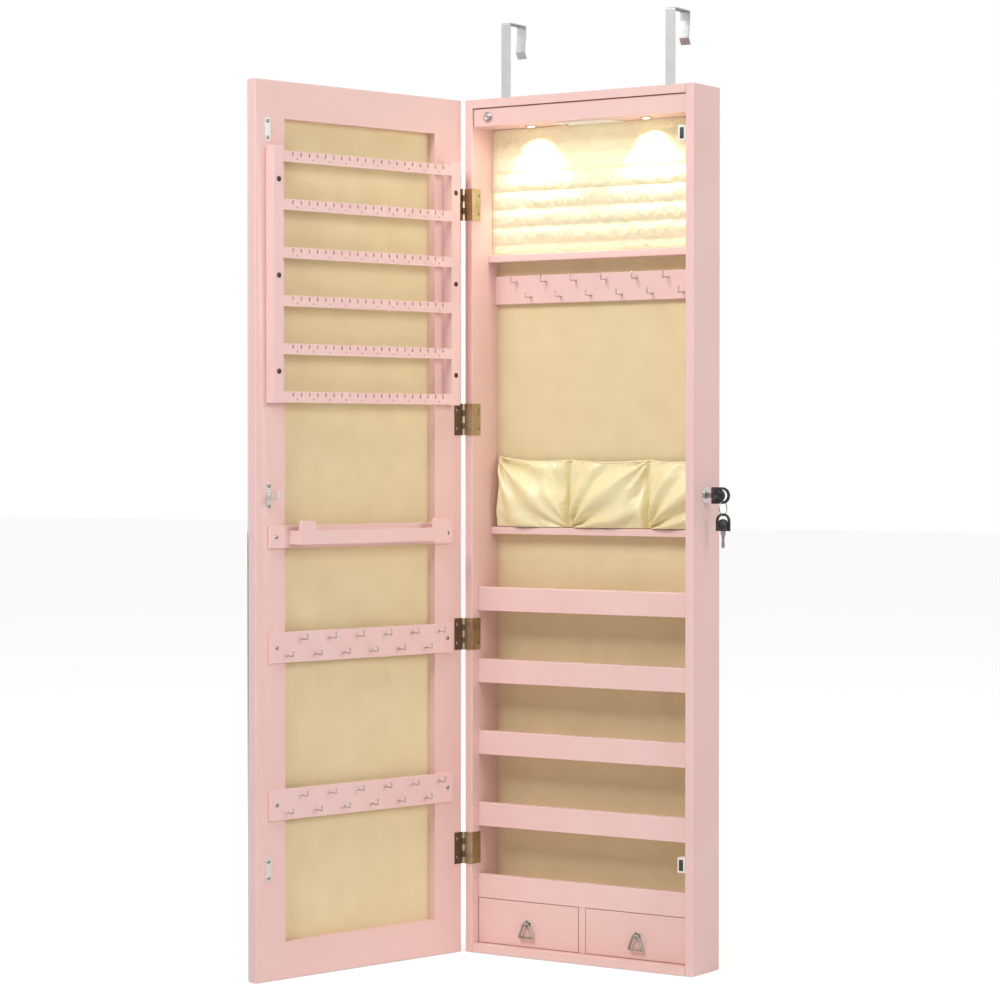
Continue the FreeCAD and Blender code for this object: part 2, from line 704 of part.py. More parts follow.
def battery_case():
    item = body("battery_case")
    shell = sketch(item, "XY_Plane", soffit_low)
    rectangle(shell, d.cover_x - case_half, d.cover_x + case_half, -case_front, -case_rear)
    pad(item, shell, d.case_height)
    inside = sketch(item, "XY_Plane", soffit_low)
    inner_half = case_half - d.case_wall
    rear, front = case_rear + d.case_wall, case_front - d.case_wall
    rectangle(inside, d.cover_x - inner_half, d.cover_x + inner_half, -front, -rear)
    depth = d.case_height - d.case_wall
    pocket(item, inside, depth)
    boss = (cover_screw_x, -d.cover_out)
    ring(item, "XY_Plane", soffit_low, depth, boss, d.case_boss_r, HEAD_SIDES, shank_hole_r, SHANK_SIDES)


def battery_cells():
    item = body("battery_cells")
    end_x = d.cover_x + case_half - 2 * d.case_wall
    cell_z = case_high - d.case_wall - d.cell_r
    first_out = d.cover_out - d.cell_r * (d.cell_count - 1)
    centre = (-first_out, cell_z)
    cell = ring(item, "YZ_Plane", end_x - d.cell_length, d.cell_length, centre, d.cell_r, POST_SIDES)
    row = pattern(item, [cell], "Y_Axis", 2 * d.cell_r, d.cell_count)
    row.Reversed = True


def battery_cover():
    cover_half = d.cover_length / 2
    cover_rear = d.cover_out - d.cover_width / 2
    item = board("battery_cover", d.cover_x - cover_half, d.cover_x + cover_half, soffit_low - d.cover_t, soffit_low,
                 cover_rear, cover_rear + d.cover_width)
    screw_place = (cover_screw_x, -d.cover_out)
    holes(item, "XY_Plane", soffit_low - d.cover_t, d.cover_t, shank_hole_r, SHANK_SIDES, [screw_place])


switch_rear = fascia_out - d.switch_barrel_len


def switch_housing():
    """A flange on the fascia and a barrel behind it, closed at its rear."""
    item = body("switch_housing")
    centre = (d.switch_x, switch_z)
    barrel_r, bore_r = d.switch_barrel_r, d.switch_bore_r
    ring(item, "XZ_Plane", switch_rear, d.switch_flange_t, centre, barrel_r, POST_SIDES)
    floor_out = switch_rear + d.switch_flange_t
    ring(item, "XZ_Plane", floor_out, fascia_out - floor_out, centre, barrel_r, POST_SIDES, bore_r, POST_SIDES)
    ring(item, "XZ_Plane", fascia_out, d.switch_flange_t, centre, d.switch_r, RIM_SIDES, bore_r, POST_SIDES)


def switch_button():
    item = body("switch_button")
    rear = fascia_out + d.switch_flange_t + d.button_proud - d.button_length
    button_r = d.switch_bore_r - d.button_clear
    ring(item, "XZ_Plane", rear, d.button_length, (d.switch_x, switch_z), button_r, POST_SIDES)


def light_wires():
    wire_z = (soffit_high + d.wire_rise).number
    lamp_out, switch_out = -d.lamp_out.number, -switch_rear.number
    case_left, case_right = (d.cover_x - case_half).number, (d.cover_x + case_half).number
    lamp_side = (d.lamp_x - d.lamp_body_r).number
    to_right_lamp = [Vector(case_right, lamp_out, wire_z), Vector(lamp_side, lamp_out, wire_z)]
    to_left_lamp = [Vector(case_left, lamp_out, wire_z), Vector(-lamp_side, lamp_out, wire_z)]
    run_y = -d.wire_out.number
    corner_x = d.switch_x.number
    to_switch = [Vector(case_left, run_y, wire_z), Vector(corner_x, run_y, wire_z)]
    to_switch = eased(to_switch + [Vector(corner_x, switch_out, wire_z)], d.wire_bend.number)
    routes = (to_right_lamp, to_left_lamp, to_switch)
    group("light_wires", [wire_along(route, d.wire_r.number) for route in routes])


light_fascia()
light_soffit()
spot_lamps()
battery_case()
battery_cells()
battery_cover()
switch_housing()
switch_button()
light_wires()


# %% ring cushion: padded rolls that meet in seams, drawn in at both ends


def ring_cushion():
    low, high = d.cushion_low.number, soffit_low.number
    pitch, rolls = d.roll_pitch.number, round(d.roll_count.number)
    strip = (high - low - pitch * rolls) / 2
    seams = [low] + [low + strip + pitch * k for k in range(rolls + 1)] + [high]
    seam_y = -(d.cushion_out - d.roll_crown).number
    rear_y = -lining_out.number

    def section(x, crown):
        edges = [Part.LineSegment(Vector(x, rear_y, low), Vector(x, seam_y, low)).toShape()]
        for start, end in zip(seams, seams[1:]):
            rise = crown * (end - start) / pitch
            shares = [step / ROLL_FACES for step in range(ROLL_FACES + 1)]
            points = [Vector(x, seam_y - 4 * rise * u * (1 - u), start + (end - start) * u) for u in shares]
            edges.extend(Part.LineSegment(a, b).toShape() for a, b in zip(points, points[1:]))
        edges.append(Part.LineSegment(Vector(x, seam_y, high), Vector(x, rear_y, high)).toShape())
        edges.append(Part.LineSegment(Vector(x, rear_y, high), Vector(x, rear_y, low)).toShape())
        return Part.Wire(edges)

    end_x = half_in.number
    full_x = end_x - d.roll_tuck.number
    crown = d.roll_crown.number
    sections = [section(-end_x, crown / 2), section(-full_x, crown), section(full_x, crown), section(end_x, crown / 2)]
    group("ring_cushion", [Part.makeLoft(sections, True, True)])


ring_cushion()
board("ring_shelf", -half_in, half_in, d.cushion_low - d.ring_shelf_t, d.cushion_low, lining_out, d.ring_shelf_out)


# %% hook rails and their hooks


def hook(item, x, z, root_out, way):
    """A bent wire with a collar at its root; way is 1 towards the front and -1 towards the rear."""
    collar_out = root_out if way > 0 else root_out - d.hook_collar_t
    collar = ring(item, "XZ_Plane", collar_out, d.hook_collar_t, (x, z), d.hook_collar_r, WIRE_SIDES)
    bend_out = root_out + way * d.hook_reach
    path = sketch(item, "YZ_Plane", x)
    corners = [(-root_out, z), (-bend_out, z), (-bend_out, z + d.hook_rise)]
    for start, end in zip(corners, corners[1:]):
        begin = Vector(as_size(start[0]).number, as_size(start[1]).number, 0)
        finish = Vector(as_size(end[0]).number, as_size(end[1]).number, 0)
        path.addGeometry(Part.LineSegment(begin, finish))
    path.addConstraint(Sketcher.Constraint("Coincident", 0, 2, 1, 1))
    for edge, point, corner in ((0, 1, corners[0]), (0, 2, corners[1]), (1, 2, corners[2])):
        tie(path, "DistanceX", edge, point, corner[0])
        tie(path, "DistanceY", edge, point, corner[1])
    wire = item.newObject("PartDesign::AdditivePipe", "Wire")
    wire.Profile = ngon(sketch(item, "XZ_Plane", root_out), x, z, d.hook_wire_r, WIRE_SIDES)
    wire.Spine = path
    wire.Transition = "Right corner"
    return [collar, wire]


def hook_rows(item, middle_z, root_out, way):
    """The first hooks of the upper and the lower row, which stand in turn along the rail."""
    first_x = -d.hook_pitch * (d.hook_count - 1) / 2
    upper = hook(item, first_x, middle_z + d.hook_rows / 2, root_out, way)
    lower = hook(item, first_x + d.hook_pitch, middle_z - d.hook_rows / 2, root_out, way)
    return upper + lower


neck_out = lining_out + d.neck_rail_t
neck_low = d.neck_rail_z - d.neck_rail_height / 2
board("necklace_rail", -half_in, half_in, neck_low, neck_low + d.neck_rail_height, lining_out, neck_out)
necklace_hooks = body("necklace_hooks")
neck_first = hook_rows(necklace_hooks, d.neck_rail_z, neck_out, 1)
pattern(necklace_hooks, neck_first, "X_Axis", 2 * d.hook_pitch, d.hook_count / 2)


# %% pouch: gathered cloth with three pockets, open at the top


def pouch():
    low = d.pouch_low.number
    cloth = d.pouch_cloth.number
    rear, pinch = lining_out.number, d.pouch_pinch_out.number
    side = (half_in - d.pouch_edge).number
    seams = [-side, d.pouch_seam_left.number, d.pouch_seam_right.number, side]
    heights = [low, low + d.pouch_belly_z.number, low + d.pouch_height.number]
    fronts = [d.pouch_foot_out.number, d.pouch_out.number, d.pouch_top_out.number]
    fold = d.pouch_fold.number
    folds = round(d.pouch_folds.number)

    def level(start, end, inset, front, z):
        """One pocket's outline at a height, moved inwards by inset, with the gathers along its front."""
        begin, finish = start + inset, end - inset
        points = [Vector(begin, -(rear + inset), z)]
        for k in range(2 * folds + 1):
            share = k / (2 * folds)
            rise = (front - pinch) * math.sin(math.pi * share) ** 0.7
            dip = fold if k % 2 else 0
            points.append(Vector(begin + (finish - begin) * share, -(pinch + rise - dip - inset), z))
        points.append(Vector(finish, -(rear + inset), z))
        return Part.makePolygon(points + points[:1])

    inner_heights = [low + cloth, heights[1], heights[2] + cloth]
    made = None
    for start, end in zip(seams, seams[1:]):
        shell = Part.makeLoft([level(start, end, 0, f, z) for f, z in zip(fronts, heights)], True, True)
        inside = Part.makeLoft([level(start, end, cloth, f, z) for f, z in zip(fronts, inner_heights)], True, True)
        pocket_shape = shell.cut(inside)
        made = pocket_shape if made is None else made.fuse(pocket_shape)
    group("pouch", [made])


pouch()
board("pouch_shelf", -half_in, half_in, d.pouch_low - d.pouch_shelf_t, d.pouch_low, lining_out, d.pouch_shelf_out)


# %% tiers and drawers


def tier_shelf(number, low):
    """A floor board and the lip in front of it."""
    item = body(f"tier_shelf_{number}")
    lip_rear = d.lip_out - d.lip_t
    lip_high, floor_high = low + d.lip_height, low + d.floor_t
    lip = [(-d.lip_out, low), (-d.lip_out, lip_high), (-lip_rear, lip_high), (-lip_rear, floor_high)]
    profile = sketch(item, "YZ_Plane", -half_in)
    outline(profile, [(-lining_out, low)] + lip + [(-lining_out, floor_high)])
    pad(item, profile, 2 * half_in)
    chamfer(item, d.lip_round, lambda p: near(p.y, -d.lip_out) and near(p.z, lip_high))


for tier in range(round(d.tier_count.number)):
    tier_shelf(tier + 1, d.tier_low + tier * d.tier_pitch)

half_divider = d.divider_t / 2
board("drawer_divider", -half_divider, half_divider, d.panel_t, d.tier_low, lining_out, d.lip_out)


def drawer(label, side):
    item = body(label)
    near_x, far_x = side * (half_divider + d.drawer_gap), side * (half_in - d.drawer_gap)
    front_rear = d.lip_out - d.drawer_front_t
    front = sketch(item, "XZ_Plane", front_rear)
    rectangle(front, near_x, far_x, d.panel_t + d.drawer_gap, d.tier_low - d.drawer_gap)
    pad(item, front, d.drawer_front_t)
    tray_low = d.panel_t + d.drawer_run_gap
    tray_rear = lining_out + d.drawer_back_gap
    tray = sketch(item, "XZ_Plane", tray_rear)
    rectangle(tray, near_x, far_x, tray_low, tray_low + d.drawer_side_height)
    pad(item, tray, front_rear - tray_rear)
    inside = sketch(item, "XY_Plane", tray_low + d.drawer_floor)
    wall = side * d.drawer_wall
    rectangle(inside, near_x + wall, far_x - wall, -front_rear, -(tray_rear + d.drawer_wall))
    pocket(item, inside, d.drawer_side_height - d.drawer_floor)


pull_axis_out = d.lip_out + d.pull_out


def pull_post(label, x):
    """A plate with a post, cross-bored for the pull."""
    item = body(label)
    ring(item, "XZ_Plane", d.lip_out, d.pull_rose_t, (x, d.pull_z), d.pull_rose_r, POST_SIDES)
    ring(item, "XZ_Plane", d.lip_out, d.pull_post_len, (x, d.pull_z), d.pull_post_r, HEAD_SIDES)
    bore = ngon(sketch(item, "YZ_Plane", x - 2 * d.pull_post_r), -pull_axis_out, d.pull_z,
                d.pull_wire_r + d.pull_play, WIRE_SIDES, True)
    pocket(item, bore, 4 * d.pull_post_r)


def pull_drop(label, x):
    """A wire bent to a triangle with a short straight top, which turns in the post."""
    wire_r = d.pull_wire_r.number
    middle_x, y, top = as_size(x).number, -pull_axis_out.number, d.pull_z.number
    neck, foot = d.pull_neck.number / 2, d.pull_width.number / 2 - wire_r
    low = top - d.pull_height.number + 2 * wire_r
    places = [(0, top), (neck, top), (foot, low), (-foot, low), (-neck, top), (0, top)]
    route = eased([Vector(middle_x + dx, y, z) for dx, z in places], d.pull_bend.number)
    group(label, [wire_along(route[1:-1], wire_r, True)])


for name, side in (("left", -1), ("right", 1)):
    drawer(f"drawer_{name}", side)
    pull_post(f"pull_post_{name}", side * d.pull_x)
    pull_drop(f"pull_drop_{name}", side * d.pull_x)


# %% magnetic catches


def magnetic_catches():
    shapes = []
    inner_x = (half_in - d.catch_width).number
    front = (door_out - d.strike_t - d.catch_gap).number
    deep, wide, tall = d.catch_depth.number, d.catch_width.number, d.catch_height.number
    magnet_wide, magnet_tall, magnet_deep = d.magnet_width.number, d.magnet_height.number, d.magnet_depth.number
    proud = d.magnet_proud.number
    for middle in (d.catch_z_low.number, d.catch_z_high.number):
        case_front = front - proud
        case = Part.makeBox(wide, deep, tall, Vector(inner_x, -case_front, middle - tall / 2))
        corner = Vector(inner_x + (wide - magnet_wide) / 2, -front, middle - magnet_tall / 2)
        magnet = Part.makeBox(magnet_wide, magnet_deep, magnet_tall, corner)
        shapes.extend([case.cut(magnet), magnet])
    group("magnetic_catches", shapes)


magnetic_catches()


# %% hinges: a bent leaf on the carcass, a flat leaf on the door and a pin through five knuckles

knuckle_height = (d.hinge_height - 4 * d.knuckle_gap) / 5
knuckle_step = knuckle_height + d.knuckle_gap
hinge_base = d.hinge_low - d.hinge_height / 2
leaf_edge_x = hinge_x + d.knuckle_r + d.knuckle_gap
carcass_leaf_out = d.cab_depth + d.leaf_t
door_leaf_out = door_out - d.leaf_t


def knuckles(item, first, count, bore_r, turns, rear, front):
    """Knuckles at every second place, each joined to its leaf by a short strip."""
    base = hinge_base + first * knuckle_step
    centre = (hinge_x, -hinge_out)
    barrel = ring(item, "XY_Plane", base, knuckle_height, centre, d.knuckle_r, POST_SIDES, bore_r, HEAD_SIDES, turns)
    strip_x = hinge_x + d.knuckle_r / 2
    strip = pad(item, rectangle(sketch(item, "XY_Plane", base), strip_x, leaf_edge_x, -front, -rear), knuckle_height)
    return pattern(item, [barrel, strip], "Z_Axis", 2 * knuckle_step, count, "Z_Axis", d.hinge_pitch, d.hinge_count)


def cabinet_hinge_leaves():
    item = body("cabinet_hinge_leaves")
    inner_x = -half_in
    limb_x = inner_x + d.leaf_t
    limb_out = d.cab_depth - d.leaf_inside
    plate = [(leaf_edge_x, -carcass_leaf_out), (leaf_edge_x, -d.cab_depth), (inner_x, -d.cab_depth)]
    limb = [(inner_x, -limb_out), (limb_x, -limb_out), (limb_x, -carcass_leaf_out)]
    leaf = pad(item, outline(sketch(item, "XY_Plane", hinge_base), plate + limb), d.hinge_height)
    pattern(item, [leaf], "Z_Axis", d.hinge_pitch, d.hinge_count)
    knuckles(item, 0, 3, d.pin_r + d.pin_play, True, d.cab_depth, carcass_leaf_out)
    heads = [(-d.leaf_screw_out, z) for z in hinge_screw_heights()]
    holes(item, "YZ_Plane", inner_x, d.leaf_t, head_hole_r, HEAD_SIDES, heads)


def door_hinge_leaves():
    item = body("door_hinge_leaves")
    far_x = leaf_edge_x + d.door_leaf_width - (leaf_edge_x - hinge_x - d.knuckle_r / 2)
    leaf_view = rectangle(sketch(item, "XZ_Plane", door_leaf_out), leaf_edge_x, far_x, hinge_base,
                          hinge_base + d.hinge_height)
    leaf = pad(item, leaf_view, d.leaf_t)
    pattern(item, [leaf], "Z_Axis", d.hinge_pitch, d.hinge_count)
    knuckles(item, 1, 2, d.pin_r, False, door_leaf_out, door_out)
    heads = [(d.leaf_screw_side - half_out, z) for z in hinge_screw_heights()]
    holes(item, "XZ_Plane", door_leaf_out, d.leaf_t, head_hole_r, HEAD_SIDES, heads)


def hinge_screw_heights():
    middles = [d.hinge_low + k * d.hinge_pitch for k in range(round(d.hinge_count.number))]
    return [middle + way * d.hinge_screws / 2 for middle in middles for way in (-1, 1)]


def hinge_pins():
    item = body("hinge_pins")
    pin = ring(item, "XY_Plane", hinge_base, d.hinge_height, (hinge_x, -hinge_out), d.pin_r, HEAD_SIDES)
    pattern(item, [pin], "Z_Axis", d.hinge_pitch, d.hinge_count)


cabinet_hinge_leaves()


# %% lock: barrel and nut in the side board, plug, hooked cam

lock_y = -d.lock_out
flange_x = half_out + d.lock_flange_t
plug_x = flange_x + d.plug_proud
barrel_end_x = half_in - d.lock_barrel_past
cam_x = barrel_end_x - d.cam_gap - d.cam_t


def lock_housing():
    """A flange outside the board, a barrel through it and a nut inside."""
    item = body("lock_housing")
    bore_r = d.plug_r + d.plug_play
    centre = (lock_y, d.lock_z)
    barrel_length = half_out - barrel_end_x
    ring(item, "YZ_Plane", barrel_end_x, barrel_length, centre, d.lock_barrel_r, RIM_SIDES, bore_r, RIM_SIDES, True)
    ring(item, "YZ_Plane", half_out, d.lock_flange_t, centre, d.lock_flange_r, RIM_SIDES, bore_r, RIM_SIDES, True)
    nut_bore_r = d.lock_barrel_r + d.screw_play
    ring(item, "YZ_Plane", half_in - d.lock_nut_t, d.lock_nut_t, centre, d.lock_nut_r, 6, nut_bore_r, RIM_SIDES)


def lock_plug():
    """The cam screw's head, a tenon in the cam and the plug, in line."""
    item = body("lock_plug")
    centre = (lock_y, d.lock_z)
    tenon_end_x = cam_x + d.cam_t
    ring(item, "YZ_Plane", cam_x - d.cam_screw_t, d.cam_screw_t, centre, d.cam_screw_r, POST_SIDES)
    ring(item, "YZ_Plane", cam_x, d.cam_t, centre, d.plug_tenon_r, SHANK_SIDES)
    ring(item, "YZ_Plane", tenon_end_x, plug_x - tenon_end_x, centre, d.plug_r, RIM_SIDES)
    keyway = sketch(item, "YZ_Plane", plug_x - d.keyway_length, lock_y, d.lock_z)
    half_t, half_w = d.blade_t / 2 + d.blade_play, d.blade_width / 2 + d.blade_play
    rectangle(keyway, -half_t, half_t, -half_w, half_w)
    pocket(item, keyway, d.keyway_length)


def lock_cam():
    """A hub, an arm and a hook that runs round the lock's axis; it stands unlocked."""
    x = cam_x.number
    axis = Vector(x, -d.lock_out.number, d.lock_z.number)
    thick = Vector(d.cam_t.number, 0, 0)

    def place(radius, angle):
        """A point at an angle from the door's direction towards +Z."""
        turn = math.radians(angle + d.cam_throw.number)
        return axis + Vector(0, -radius * math.cos(turn), radius * math.sin(turn))

    inner_r, outer_r = d.cam_hook_in_r.number, d.cam_hook_out_r.number
    lead, trail = d.cam_hook_lead.number, d.cam_hook_trail.number
    mid = (lead + trail) / 2
    hook_edges = [
        Part.Arc(place(outer_r, lead), place(outer_r, mid), place(outer_r, trail)).toShape(),
        Part.LineSegment(place(outer_r, trail), place(inner_r, trail)).toShape(),
        Part.Arc(place(inner_r, trail), place(inner_r, mid), place(inner_r, lead)).toShape(),
        Part.LineSegment(place(inner_r, lead), place(outer_r, lead)).toShape(),
    ]
    hook_plate = Part.Face(Part.Wire(hook_edges)).extrude(thick)
    along = (place(1, d.cam_arm_angle.number) - axis) * ((inner_r + outer_r) / 2)
    aside = (place(1, d.cam_arm_angle.number + 90) - axis) * (d.cam_arm_w.number / 2)
    arm_corners = [axis + aside, axis + along + aside, axis + along - aside, axis - aside, axis + aside]
    arm = Part.Face(Part.makePolygon(arm_corners)).extrude(thick)
    hub = Part.makeCylinder(d.cam_hub_r.number, d.cam_t.number, axis, RIGHT)
    bore = prism(d.plug_tenon_r.number, SHANK_SIDES, 0, d.cam_t.number)
    bore.Placement = Placement(axis, TO_RIGHT)
    cam = hook_plate.fuse([arm, hub]).cut(bore).removeSplitter()
    group("lock_cam", [cam])


lock_housing()
lock_plug()
lock_cam()


# %% keys

bow_start_x = plug_x + d.blade_out
bow_x = bow_start_x + d.bow_neck + d.bow_r
rim_z = d.lock_z - d.bow_r + d.bow_rim / 2
key_ring_x = bow_x + d.ring_x
ring_z = rim_z + d.bow_rim / 2 + d.ring_play - d.ring_r + d.ring_wire_r
spare_top_z = ring_z - d.ring_r + d.ring_wire_r + d.spare_play - d.spare_hole_r + d.spare_hole_down


def key_in_lock():
    item = body("key_in_lock")
    bow_rear = d.lock_out - d.bow_t / 2
    bow = sketch(item, "XZ_Plane", bow_rear, bow_x, d.lock_z)
    pad(item, ngon(bow, as_size(0), as_size(0), d.bow_r, RIM_SIDES), d.bow_t)
    neck = sketch(item, "XZ_Plane", bow_rear, 0, d.lock_z)
    rectangle(neck, bow_start_x, bow_x, -d.bow_neck_w / 2, d.bow_neck_w / 2)
    pad(item, neck, d.bow_t)
    hole = sketch(item, "XZ_Plane", bow_rear, bow_x, d.lock_z)
    segment(hole, d.bow_r - d.bow_rim, d.bow_web_x)
    pocket(item, hole, d.bow_t)
    faces = (-bow_rear, -(bow_rear + d.bow_t))
    chamfer(item, d.bow_round, lambda p: near(p.y, faces[0]) or near(p.y, faces[1]))
    blade = sketch(item, "YZ_Plane", plug_x - d.keyway_length + d.blade_t, lock_y, d.lock_z)
    rectangle(blade, -d.blade_t / 2, d.blade_t / 2, -d.blade_width / 2, d.blade_width / 2)
    pad(item, blade, d.keyway_length - d.blade_t + d.blade_out)


def segment(made, radius, chord):
    """The part of a disc to the right of an upright chord."""
    angle = math.acos(chord.number / radius.number)
    disc = Part.Circle(Vector(0, 0, 0), Vector(0, 0, 1), radius.number)
    made.addGeometry(Part.ArcOfCircle(disc, -angle, angle))
    low, high = made.getPoint(0, 1), made.getPoint(0, 2)
    made.addGeometry(Part.LineSegment(high, low))
    made.addConstraint(Sketcher.Constraint("Coincident", 0, 2, 1, 1))
    made.addConstraint(Sketcher.Constraint("Coincident", 1, 2, 0, 1))
    made.addConstraint(Sketcher.Constraint("Vertical", 1))
    tie(made, "DistanceX", 0, 3, 0)
    tie(made, "DistanceY", 0, 3, 0)
    tie(made, "DistanceX", 1, 1, chord)
    index = made.addConstraint(Sketcher.Constraint("Radius", 0, radius.number))
    made.setExpression(f"Constraints[{index}]", radius.formula)


def key_ring():
    """A closed ring of wire in an upright plane that faces sideways."""
    centre = Vector(key_ring_x.number, lock_y.number, ring_z.number)
    turns = [2 * math.pi * k / RIM_SIDES for k in range(RIM_SIDES)]
    ring_r = d.ring_r.number
    route = [centre + Vector(0, ring_r * math.cos(a), ring_r * math.sin(a)) for a in turns]
    group("key_ring", [wire_along(route, d.ring_wire_r.number, True)])


def spare_key():
    item = body("spare_key")
    rear = d.lock_out - d.spare_t / 2
    half_w = d.spare_bow_w / 2
    low = -d.spare_bow_h
    bow = sketch(item, "XZ_Plane", rear, key_ring_x, spare_top_z)
    rectangle(bow, -half_w, half_w, low, 0)
    pad(item, bow, d.spare_t)

    def on_corner(p):
        beside = near(abs(p.x - key_ring_x.number), half_w)
        return beside and (near(p.z, spare_top_z) or near(p.z, spare_top_z + low))

    fillet(item, d.spare_bow_round, on_corner)
    hole = sketch(item, "XZ_Plane", rear, key_ring_x, spare_top_z)
    pocket(item, ngon(hole, as_size(0), -d.spare_hole_down, d.spare_hole_r, POST_SIDES, True), d.spare_t)
    blade_half = d.spare_blade_w / 2
    blade_low = low - d.spare_blade + blade_half
    blade = sketch(item, "XZ_Plane", rear, key_ring_x, spare_top_z)
    pad(item, rectangle(blade, -blade_half, blade_half, blade_low, low), d.spare_t)
    tip = sketch(item, "XZ_Plane", rear, key_ring_x, spare_top_z)
    pad(item, ngon(tip, as_size(0), blade_low, blade_half, POST_SIDES), d.spare_t)


key_in_lock()
key_ring()
spare_key()


# %% hanging brackets: straps that lie behind the back board and hook over a room door


def hanging_brackets():
    item = body("hanging_brackets")
    thick, top, throat = d.strap_t, d.strap_top, d.strap_throat
    bend_z, pinch_z, end_z = top - d.strap_bend, top - d.strap_rear + d.strap_lip, top - d.strap_rear
    leg = [(throat, bend_z), (throat - d.strap_pinch, pinch_z), (throat + d.strap_lip_out, end_z)]
    outer_leg = [(y + thick, z) for y, z in leg]
    outside = [(-thick, d.strap_low), (-thick, top), (throat + thick, top)] + outer_leg
    inside = leg[::-1] + [(throat, top - thick), (0, top - thick), (0, d.strap_low)]
    for x in (d.strap_x_left, d.strap_x_right):
        profile = outline(sketch(item, "YZ_Plane", x - d.strap_width / 2), outside + inside)
        pad(item, profile, d.strap_width)

    def on_bend(p, height, rear):
        return near(p.z, height) and (near(p.y, rear) or near(p.y, throat + rear * -1))

    fillet(item, d.strap_bend_r, lambda p: on_bend(p, top, -thick))
    fillet(item, d.strap_bend_r - thick, lambda p: on_bend(p, top - thick, as_size(0)))
    places = [(x, z) for x in (d.strap_x_left, d.strap_x_right) for z in (d.strap_screw_low, d.strap_screw_high)]
    holes(item, "XZ_Plane", 0, d.screw_head_t, head_hole_r, HEAD_SIDES, places)
    holes(item, "XZ_Plane", d.screw_head_t, thick - d.screw_head_t, shank_hole_r, SHANK_SIDES, places)


def strap_notches():
    """Room for the straps in the top board's rear edge, and the holes of their screws."""
    for x in (d.strap_x_left, d.strap_x_right):
        half = (d.strap_width + 2 * d.notch_play) / 2
        notch = sketch(top_panel, "XZ_Plane")
        rectangle(notch, x - half, x + half, top_in, d.cab_height)
        pocket(top_panel, notch, d.strap_t + d.notch_play)
    straps = (d.strap_x_left, d.strap_x_right)
    bite = d.screw_bite
    high, low = d.strap_screw_high, d.strap_screw_low
    holes(top_panel, "XZ_Plane", d.screw_head_t, bite, shank_hole_r, SHANK_SIDES, [(x, high) for x in straps])
    holes(back_board, "XZ_Plane", d.screw_head_t, bite, shank_hole_r, SHANK_SIDES, [(x, low) for x in straps])


hanging_brackets()
strap_notches()


# %% holes in the side boards


def side_holes():
    leaf_screws = [(-d.leaf_screw_out, z) for z in hinge_screw_heights()]
    board_x = -half_in - d.screw_bite
    holes(side_panel_left, "YZ_Plane", board_x, d.screw_bite, shank_hole_r, SHANK_SIDES, leaf_screws)
    bore_r = d.lock_barrel_r + d.lock_bore_play
    holes(side_panel_right, "YZ_Plane", half_in, d.panel_t, bore_r, RIM_SIDES, [(lock_y, d.lock_z)])


def cabinet_screws():
    shapes = [screw(-half_in, d.leaf_screw_out, z, TO_RIGHT) for z in hinge_screw_heights()]
    shapes.append(screw(cover_screw_x, d.cover_out, soffit_low - d.cover_t, TO_FLOOR, d.cover_t))
    for x in (d.strap_x_left, d.strap_x_right):
        for z in (d.strap_screw_low, d.strap_screw_high):
            shapes.append(screw(x, d.screw_head_t, z, TO_REAR))
    group("cabinet_screws", shapes)


side_holes()
cabinet_screws()

CABINET_PARTS = len(PARTS)


# %% door frame and mirror


def frame_piece(label, corners, on_edge):
    """A mitred rail or stile, with its outer edge rounded on the inner side of the door."""
    item = body(label)
    pad(item, outline(sketch(item, "XZ_Plane", door_out), corners), d.frame_t)
    fillet(item, d.edge_round, lambda p: near(p.y, -door_out) and on_edge(p))
    return item


open_x = half_out - d.frame_width
open_low, open_high = d.frame_width, d.cab_height - d.frame_width
frame_piece("door_rail_top", [(-half_out, d.cab_height), (half_out, d.cab_height), (open_x, open_high),
                              (-open_x, open_high)], lambda p: near(p.z, d.cab_height))
frame_piece("door_rail_bottom", [(-half_out, 0), (half_out, 0), (open_x, open_low), (-open_x, open_low)],
            lambda p: near(p.z, 0))
door_stile_hinge = frame_piece("door_stile_hinge", [(-half_out, 0), (-open_x, open_low), (-open_x, open_high),
                                                    (-half_out, d.cab_height)], lambda p: near(p.x, -half_out))
door_stile_lock = frame_piece("door_stile_lock", [(half_out, 0), (open_x, open_low), (open_x, open_high),
                                                  (half_out, d.cab_height)], lambda p: near(p.x, half_out))
board("mirror_glass", -half_out, half_out, 0, d.cab_height, door_face, door_face + d.mirror_t)
board("door_lining", -open_x, open_x, open_low, open_high, door_face - d.door_lining_t, door_face)


# %% earring rack: two posts notched for six bars

rack_half = d.post_x + d.post_width / 2
post_screw_heights = [d.post_screw_low + k * d.post_screw_pitch for k in range(round(d.post_screw_count.number))]


def earring_posts():
    item = body("earring_posts")
    post_high = d.post_low + d.post_length
    for side in (-1, 1):
        post = sketch(item, "XZ_Plane", post_out)
        rectangle(post, side * (rack_half - d.post_width), side * rack_half, d.post_low, post_high)
        pad(item, post, d.post_depth)
    fillet(item, d.post_round, lambda p: near(p.y, -post_out) and near(p.z, post_high))
    notch = sketch(item, "XZ_Plane", post_out)
    rectangle(notch, -rack_half, rack_half, d.bar_low, d.bar_low + d.bar_height)
    notched = pocket(item, notch, d.bar_t)
    pattern(item, [notched], "Z_Axis", d.bar_pitch, d.bar_count)
    places = [(side * d.post_x, z) for side in (-1, 1) for z in post_screw_heights]
    holes(item, "XZ_Plane", post_out, d.post_depth, shank_hole_r, SHANK_SIDES, places)


